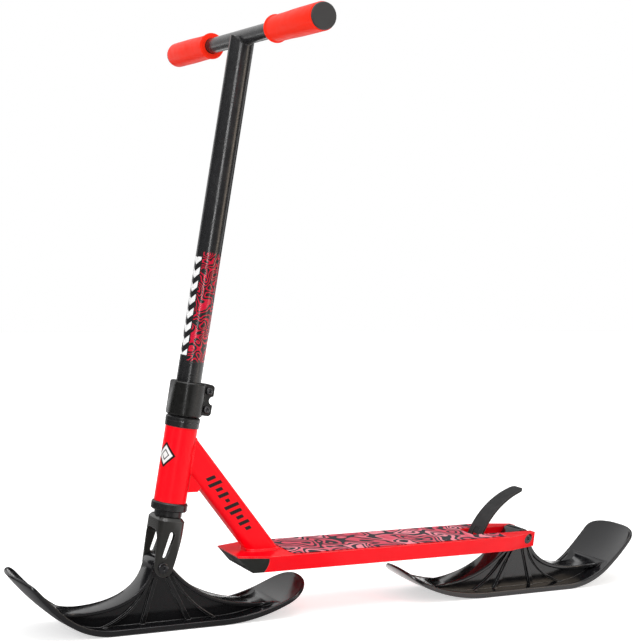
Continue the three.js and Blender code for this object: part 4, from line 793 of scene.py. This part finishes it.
def ski_plate():
    """Rings that follow the plan inset by a distance, from the middle of the sole round the rim to the
    middle of the pocket, each lifted to its height. Two runner grooves are pressed into the sole."""
    edge = plate_outline()
    way = np.roll(edge, -1, 0) - np.roll(edge, 1, 0)
    inward = np.stack((way[:, 1], -way[:, 0]), 1) / np.linalg.norm(way, axis=1, keepdims=True)

    def inset(distance):
        """The plan moved inward by a distance. Points that pass the centre line stay on it."""
        moved = edge + inward * distance
        crossed = np.sign(moved[:, 1]) * np.sign(edge[:, 1]) < 0
        moved[crossed, 1] = 0
        return moved

    def ring(distance, lift):
        """The ring at an inset, lifted."""
        moved = inset(distance)
        return plate_point(moved[:, 0], moved[:, 1], lift)

    inner = inset(pocket_inset)
    station, wide = inner[:, 0], np.abs(inner[:, 1])
    groove = groove_depth * (smooth_share((groove_reach - station) / groove_run_out)
                             * smooth_share((groove_reach + station) / groove_run_out))
    # A line of the sole runs at its own width, or at its share of the width where the plate is narrow.
    rings = []
    for width, share, pressed in groove_steps:
        x = np.sign(inner[:, 1]) * np.where(wide > groove_least_half, width, share * wide)
        rings.append(plate_point(station, x, groove * pressed))
    rings.append(plate_point(station, inner[:, 1], 0.0))
    rim, pocket = rim_at(edge[:, 0]), pocket_at(edge[:, 0])
    quarter = np.linspace(0, np.pi / 2, 6)
    round_off = list(zip(1 - np.sin(quarter), 1 - np.cos(quarter)))
    rings += [ring(sole_rounding * falling, sole_rounding * rising) for falling, rising in round_off]
    rings += [ring(rim_rounding * rising, rim - rim_rounding * falling) for falling, rising in round_off]
    rings += [ring(distance, rim - pocket * share) for distance, share in pocket_wall]
    rings += [plate_point(station, inner[:, 1] * share, rim - pocket) for share in (0.75, 0.5, 0.25, 0.0)]
    points, faces = ring_shell(np.stack(rings))
    # The first and last rings lie flat on the centre line, so the faces that would close them have no area.
    return points, [face for face in faces if len(face) == 4]


def bent(start, middle, finish, share):
    """A curve from start to finish, pulled towards the middle point: (1 - t)² a + 2 t (1 - t) b + t² c."""
    start, middle, finish = (np.array(point, float) for point in (start, middle, finish))
    t = share[:, None]
    return (1 - t) ** 2 * start + 2 * t * (1 - t) * middle + t ** 2 * finish


def crest_line(end, start_degrees, pull, valley):
    """The upper line of the web on one side: off the hub in a bend down to a valley, and in a second bend
    up to the plate, which it meets along the plate's own slope."""
    toward, start = end["toward"], math.radians(start_degrees)
    hub_point = (hub_radius * math.cos(start), axle_height + hub_radius * math.sin(start))
    valley = (toward * valley[0], valley[1])
    foot_station = toward * (end["flat"] + end["blend"])
    thick = float(rim_at(np.array(foot_station)))
    finish = plate_point(np.array(foot_station), 0.0, thick)[1:]
    before = plate_point(np.array(foot_station - toward * thick), 0.0, thick)[1:]
    share = (finish[1] - valley[1]) / (finish[1] - before[1])
    corner = (finish[0] - (finish[0] - before[0]) * share, valley[1])
    slope = bent(hub_point, (toward * pull[0], pull[1]), valley, np.linspace(0, 1, 48))
    return np.concatenate((slope, bent(valley, corner, finish, np.linspace(0, 1, 24))[1:]))


nose_crest = crest_line(nose_end, start_degrees=169, pull=(22, 31), valley=(106, 28))
tail_crest = crest_line(tail_end, start_degrees=39, pull=(56, 27), valley=(140, 19.5))


def beside(line):
    """The unit normal at each point of a line in y and z."""
    way = np.gradient(line, axis=0)
    way /= np.linalg.norm(way, axis=1, keepdims=True)
    return np.stack((-way[:, 1], way[:, 0]), 1)


def crest_flange(line, end):
    """A strip with rounded edges below the crest line, as wide as the hub. Its last part flares out to the
    rim, follows the plate's scoop, grows thin and sinks into the plate at its foot."""
    normal = beside(line)
    normal *= np.sign(normal[:, 1:] + 1e-9)
    left_over = np.abs(line[-1, 0] - line[:, 0])
    bend = np.linspace(0, 1, 60)
    flare_y = 2 * bend * (1 - bend) * flange_pull + bend ** 2 * flange_flare
    half = hub_half + (waist_half - rim_width / 2 - hub_half) * np.interp(left_over, flare_y, (1 - bend) ** 2)
    thick = flange_thickness * np.interp(np.arange(len(line)), (0, foot_run), (foot_thin, 1.0))
    dish = smooth_share(1 - left_over / flange_flare) * end["scoop"] * end["blend"] / length_of(end)
    turn = np.concatenate([np.linspace(corner, corner + np.pi / 2, 5) for corner in np.arange(4) * np.pi / 2])
    side, level = np.repeat((1, -1, -1, 1), 5), np.repeat((0, 0, -1, -1), 5)
    x = side * (half[:, None] - flange_corner) + flange_corner * np.cos(turn)
    drop = level * (thick[:, None] - 2 * flange_corner) - flange_corner + flange_corner * np.sin(turn)
    sunk = foot_sunk * smooth_share(1 - left_over / foot_run)
    lifted = drop + dish[:, None] * (x / end["half"]) ** 2 - sunk[:, None]
    y = line[:, :1] + normal[:, :1] * lifted
    z = line[:, 1:] + normal[:, 1:] * lifted
    return ring_shell(np.stack((x, y, z), -1))


def upstand(low, high, half):
    """A wall between a low and a high line of points in y and z, as thick across as twice its half."""
    ring = [np.concatenate((np.full((len(line), 1), side * half), line), 1)
            for line, side in ((low, -1), (low, 1), (high, 1), (high, -1))]
    return ring_shell(np.stack(ring, 1))


def ski_web():
    """The web stands between the middle of the plate's thickness and the middle of the flange's. It stops
    under the hub's bore, and a little short of the flanges' feet."""
    line = np.concatenate((nose_crest[::-1], tail_crest))
    place = np.linspace(nose_crest[-1, 0] + web_short, tail_crest[-1, 0] - web_short, 160)
    order = np.argsort(line[:, 0])
    high = np.interp(place, line[order, 0], line[order, 1]) - flange_thickness / 2
    under_bore = axle_height - np.sqrt(np.maximum(0, web_bore ** 2 - place ** 2))
    near = np.abs(place) < web_bore_reach
    high[near] = np.minimum(high[near], under_bore[near])
    station = np.linspace(-nose_end["flat"] - nose_end["blend"], tail_end["flat"] + tail_end["blend"], 400)
    floor_line = plate_point(station, 0.0, floor_height / 2)
    low = np.interp(place, floor_line[:, 1], floor_line[:, 2])
    low = np.minimum(low, high - web_least)
    return upstand(np.stack((place, low), 1), np.stack((place, high), 1), web_half)


def ski_rib(thickness, top_share, top_height, foot_share, bow):
    """A rib from the hub to the plate's floor along a bent line, with its faces half a thickness to each
    side. The shares are of the axle's height."""
    top = np.array((axle_height * top_share, axle_height * top_height))
    foot = np.array((axle_height * foot_share, floor_height / 2))
    middle = ((top[0] + foot[0]) / 2 - bow * (foot[0] - top[0]),
              (top[1] + foot[1]) / 2 - abs(bow) * axle_height * rib_lean)
    line = bent(top, middle, foot, np.linspace(0, 1, 24))
    wall = beside(line) * thickness / 2
    return upstand(line + wall, line - wall, rib_half)


def ski_hub():
    """A turned ring on the axle with rounded edges."""
    quarter = np.linspace(0, np.pi / 2, 5)
    out = hub_radius - hub_rounding + hub_rounding * np.sin(quarter)
    across = hub_half - hub_rounding + hub_rounding * np.cos(quarter)
    profile = np.concatenate((np.stack((out, -across), 1), np.stack((out, across), 1)[::-1],
                              ((hub_bore, hub_half), (hub_bore, -hub_half))))
    turn = 2 * np.pi * np.arange(hub_sides) / hub_sides
    rings = np.stack((np.broadcast_to(profile[:, 1], (hub_sides, len(profile))),
                      profile[:, 0] * np.cos(turn)[:, None],
                      axle_height + profile[:, 0] * np.sin(turn)[:, None]), -1)
    return ring_shell(rings, loops_back=True)


def ski_shells():
    """All the skins of one ski, with the axle over the origin and the nose towards -y."""
    # Each rib: its thickness, the place and height of its top, the place of its foot, and its bow.
    ribs = [ski_rib(*sizes) for sizes in ((3.0, -0.14, 0.86, -1.0, 0.3), (5.5, -0.07, 0.8, -0.28, 0.0),
                                          (5.5, 0.14, 0.8, 0.56, 0.0), (3.0, 0.24, 0.82, 1.04, 0.16))]
    flanges = [crest_flange(nose_crest, nose_end), crest_flange(tail_crest, tail_end)]
    return [ski_plate(), *flanges, ski_web(), ski_hub(), *ribs]


# The rear ski is the front one turned half round, with its nose to the rear.
for end_name, way_round in (("front", 1), ("rear", -1)):
    turned, axle_place = np.array((way_round, way_round, 1)), np.array((0, -way_round * axle_reach, 0))
    placed = [((points * turned + axle_place) * mm, faces) for points, faces in ski_shells()]
    stand_for(assembled("moulded_ski_" + end_name, placed, ski_plastic, crease=48), end_name + "_ski")
    smoothed(end_name + "_bush_left", plug_plastic)
    smoothed(end_name + "_bush_right", plug_plastic)
    smoothed(end_name + "_axle_bolt", blackened_steel)
    smoothed(end_name + "_axle_nut", plated_steel)

# The brake: a springy plastic fender on a plated cross pin at the tail of the deck. A foot presses it down,
# and a wound spring of plated wire lifts it again.
fender_grey = (0.018, 0.018, 0.0185)
fender_plastic = one_colour(
    "fender_plastic", fender_grey, (0.16, 0.16, 0.16), 0.5, shine=0.25,
    mottle=0.08, grain=0.6 * mm, depth=0.03 * mm, edge=0.7 * mm, rough=(0.45, 0.58))
smoothed("brake_fender", fender_plastic)

# Between the fender's two arms a thin web is moulded in, above the spring's upper leg. It follows the
# fender's own arc, from the height of that leg up to the strip.
pin_y, pin_z, pin_bearing, arc_radius = 222.5, 79.0, math.radians(160), 124.5
web_from, web_to, web_half_thick, web_half_wide = 148.6, 155.0, 0.8, 7.9 * mm
web_turn = np.radians(np.linspace(web_from, web_to, 10))
arc_y = pin_y - arc_radius * math.cos(pin_bearing)
arc_z = pin_z - arc_radius * math.sin(pin_bearing)


def fender_arc(radius):
    """Points at a radius round the centre of the fender's arc, over the turn that the web spans."""
    return np.stack((arc_y + radius * np.cos(web_turn), arc_z + radius * np.sin(web_turn)), 1) * mm


web_back, web_front = fender_arc(arc_radius - web_half_thick), fender_arc(arc_radius + web_half_thick)
fender_web = assembled("fender_web", [upstand(web_back, web_front, web_half_wide)], fender_plastic)
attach(fender_web, body_of("brake_fender"))
smoothed("brake_pin", plated_steel)
smoothed("brake_spring", plated_steel, crease=80)
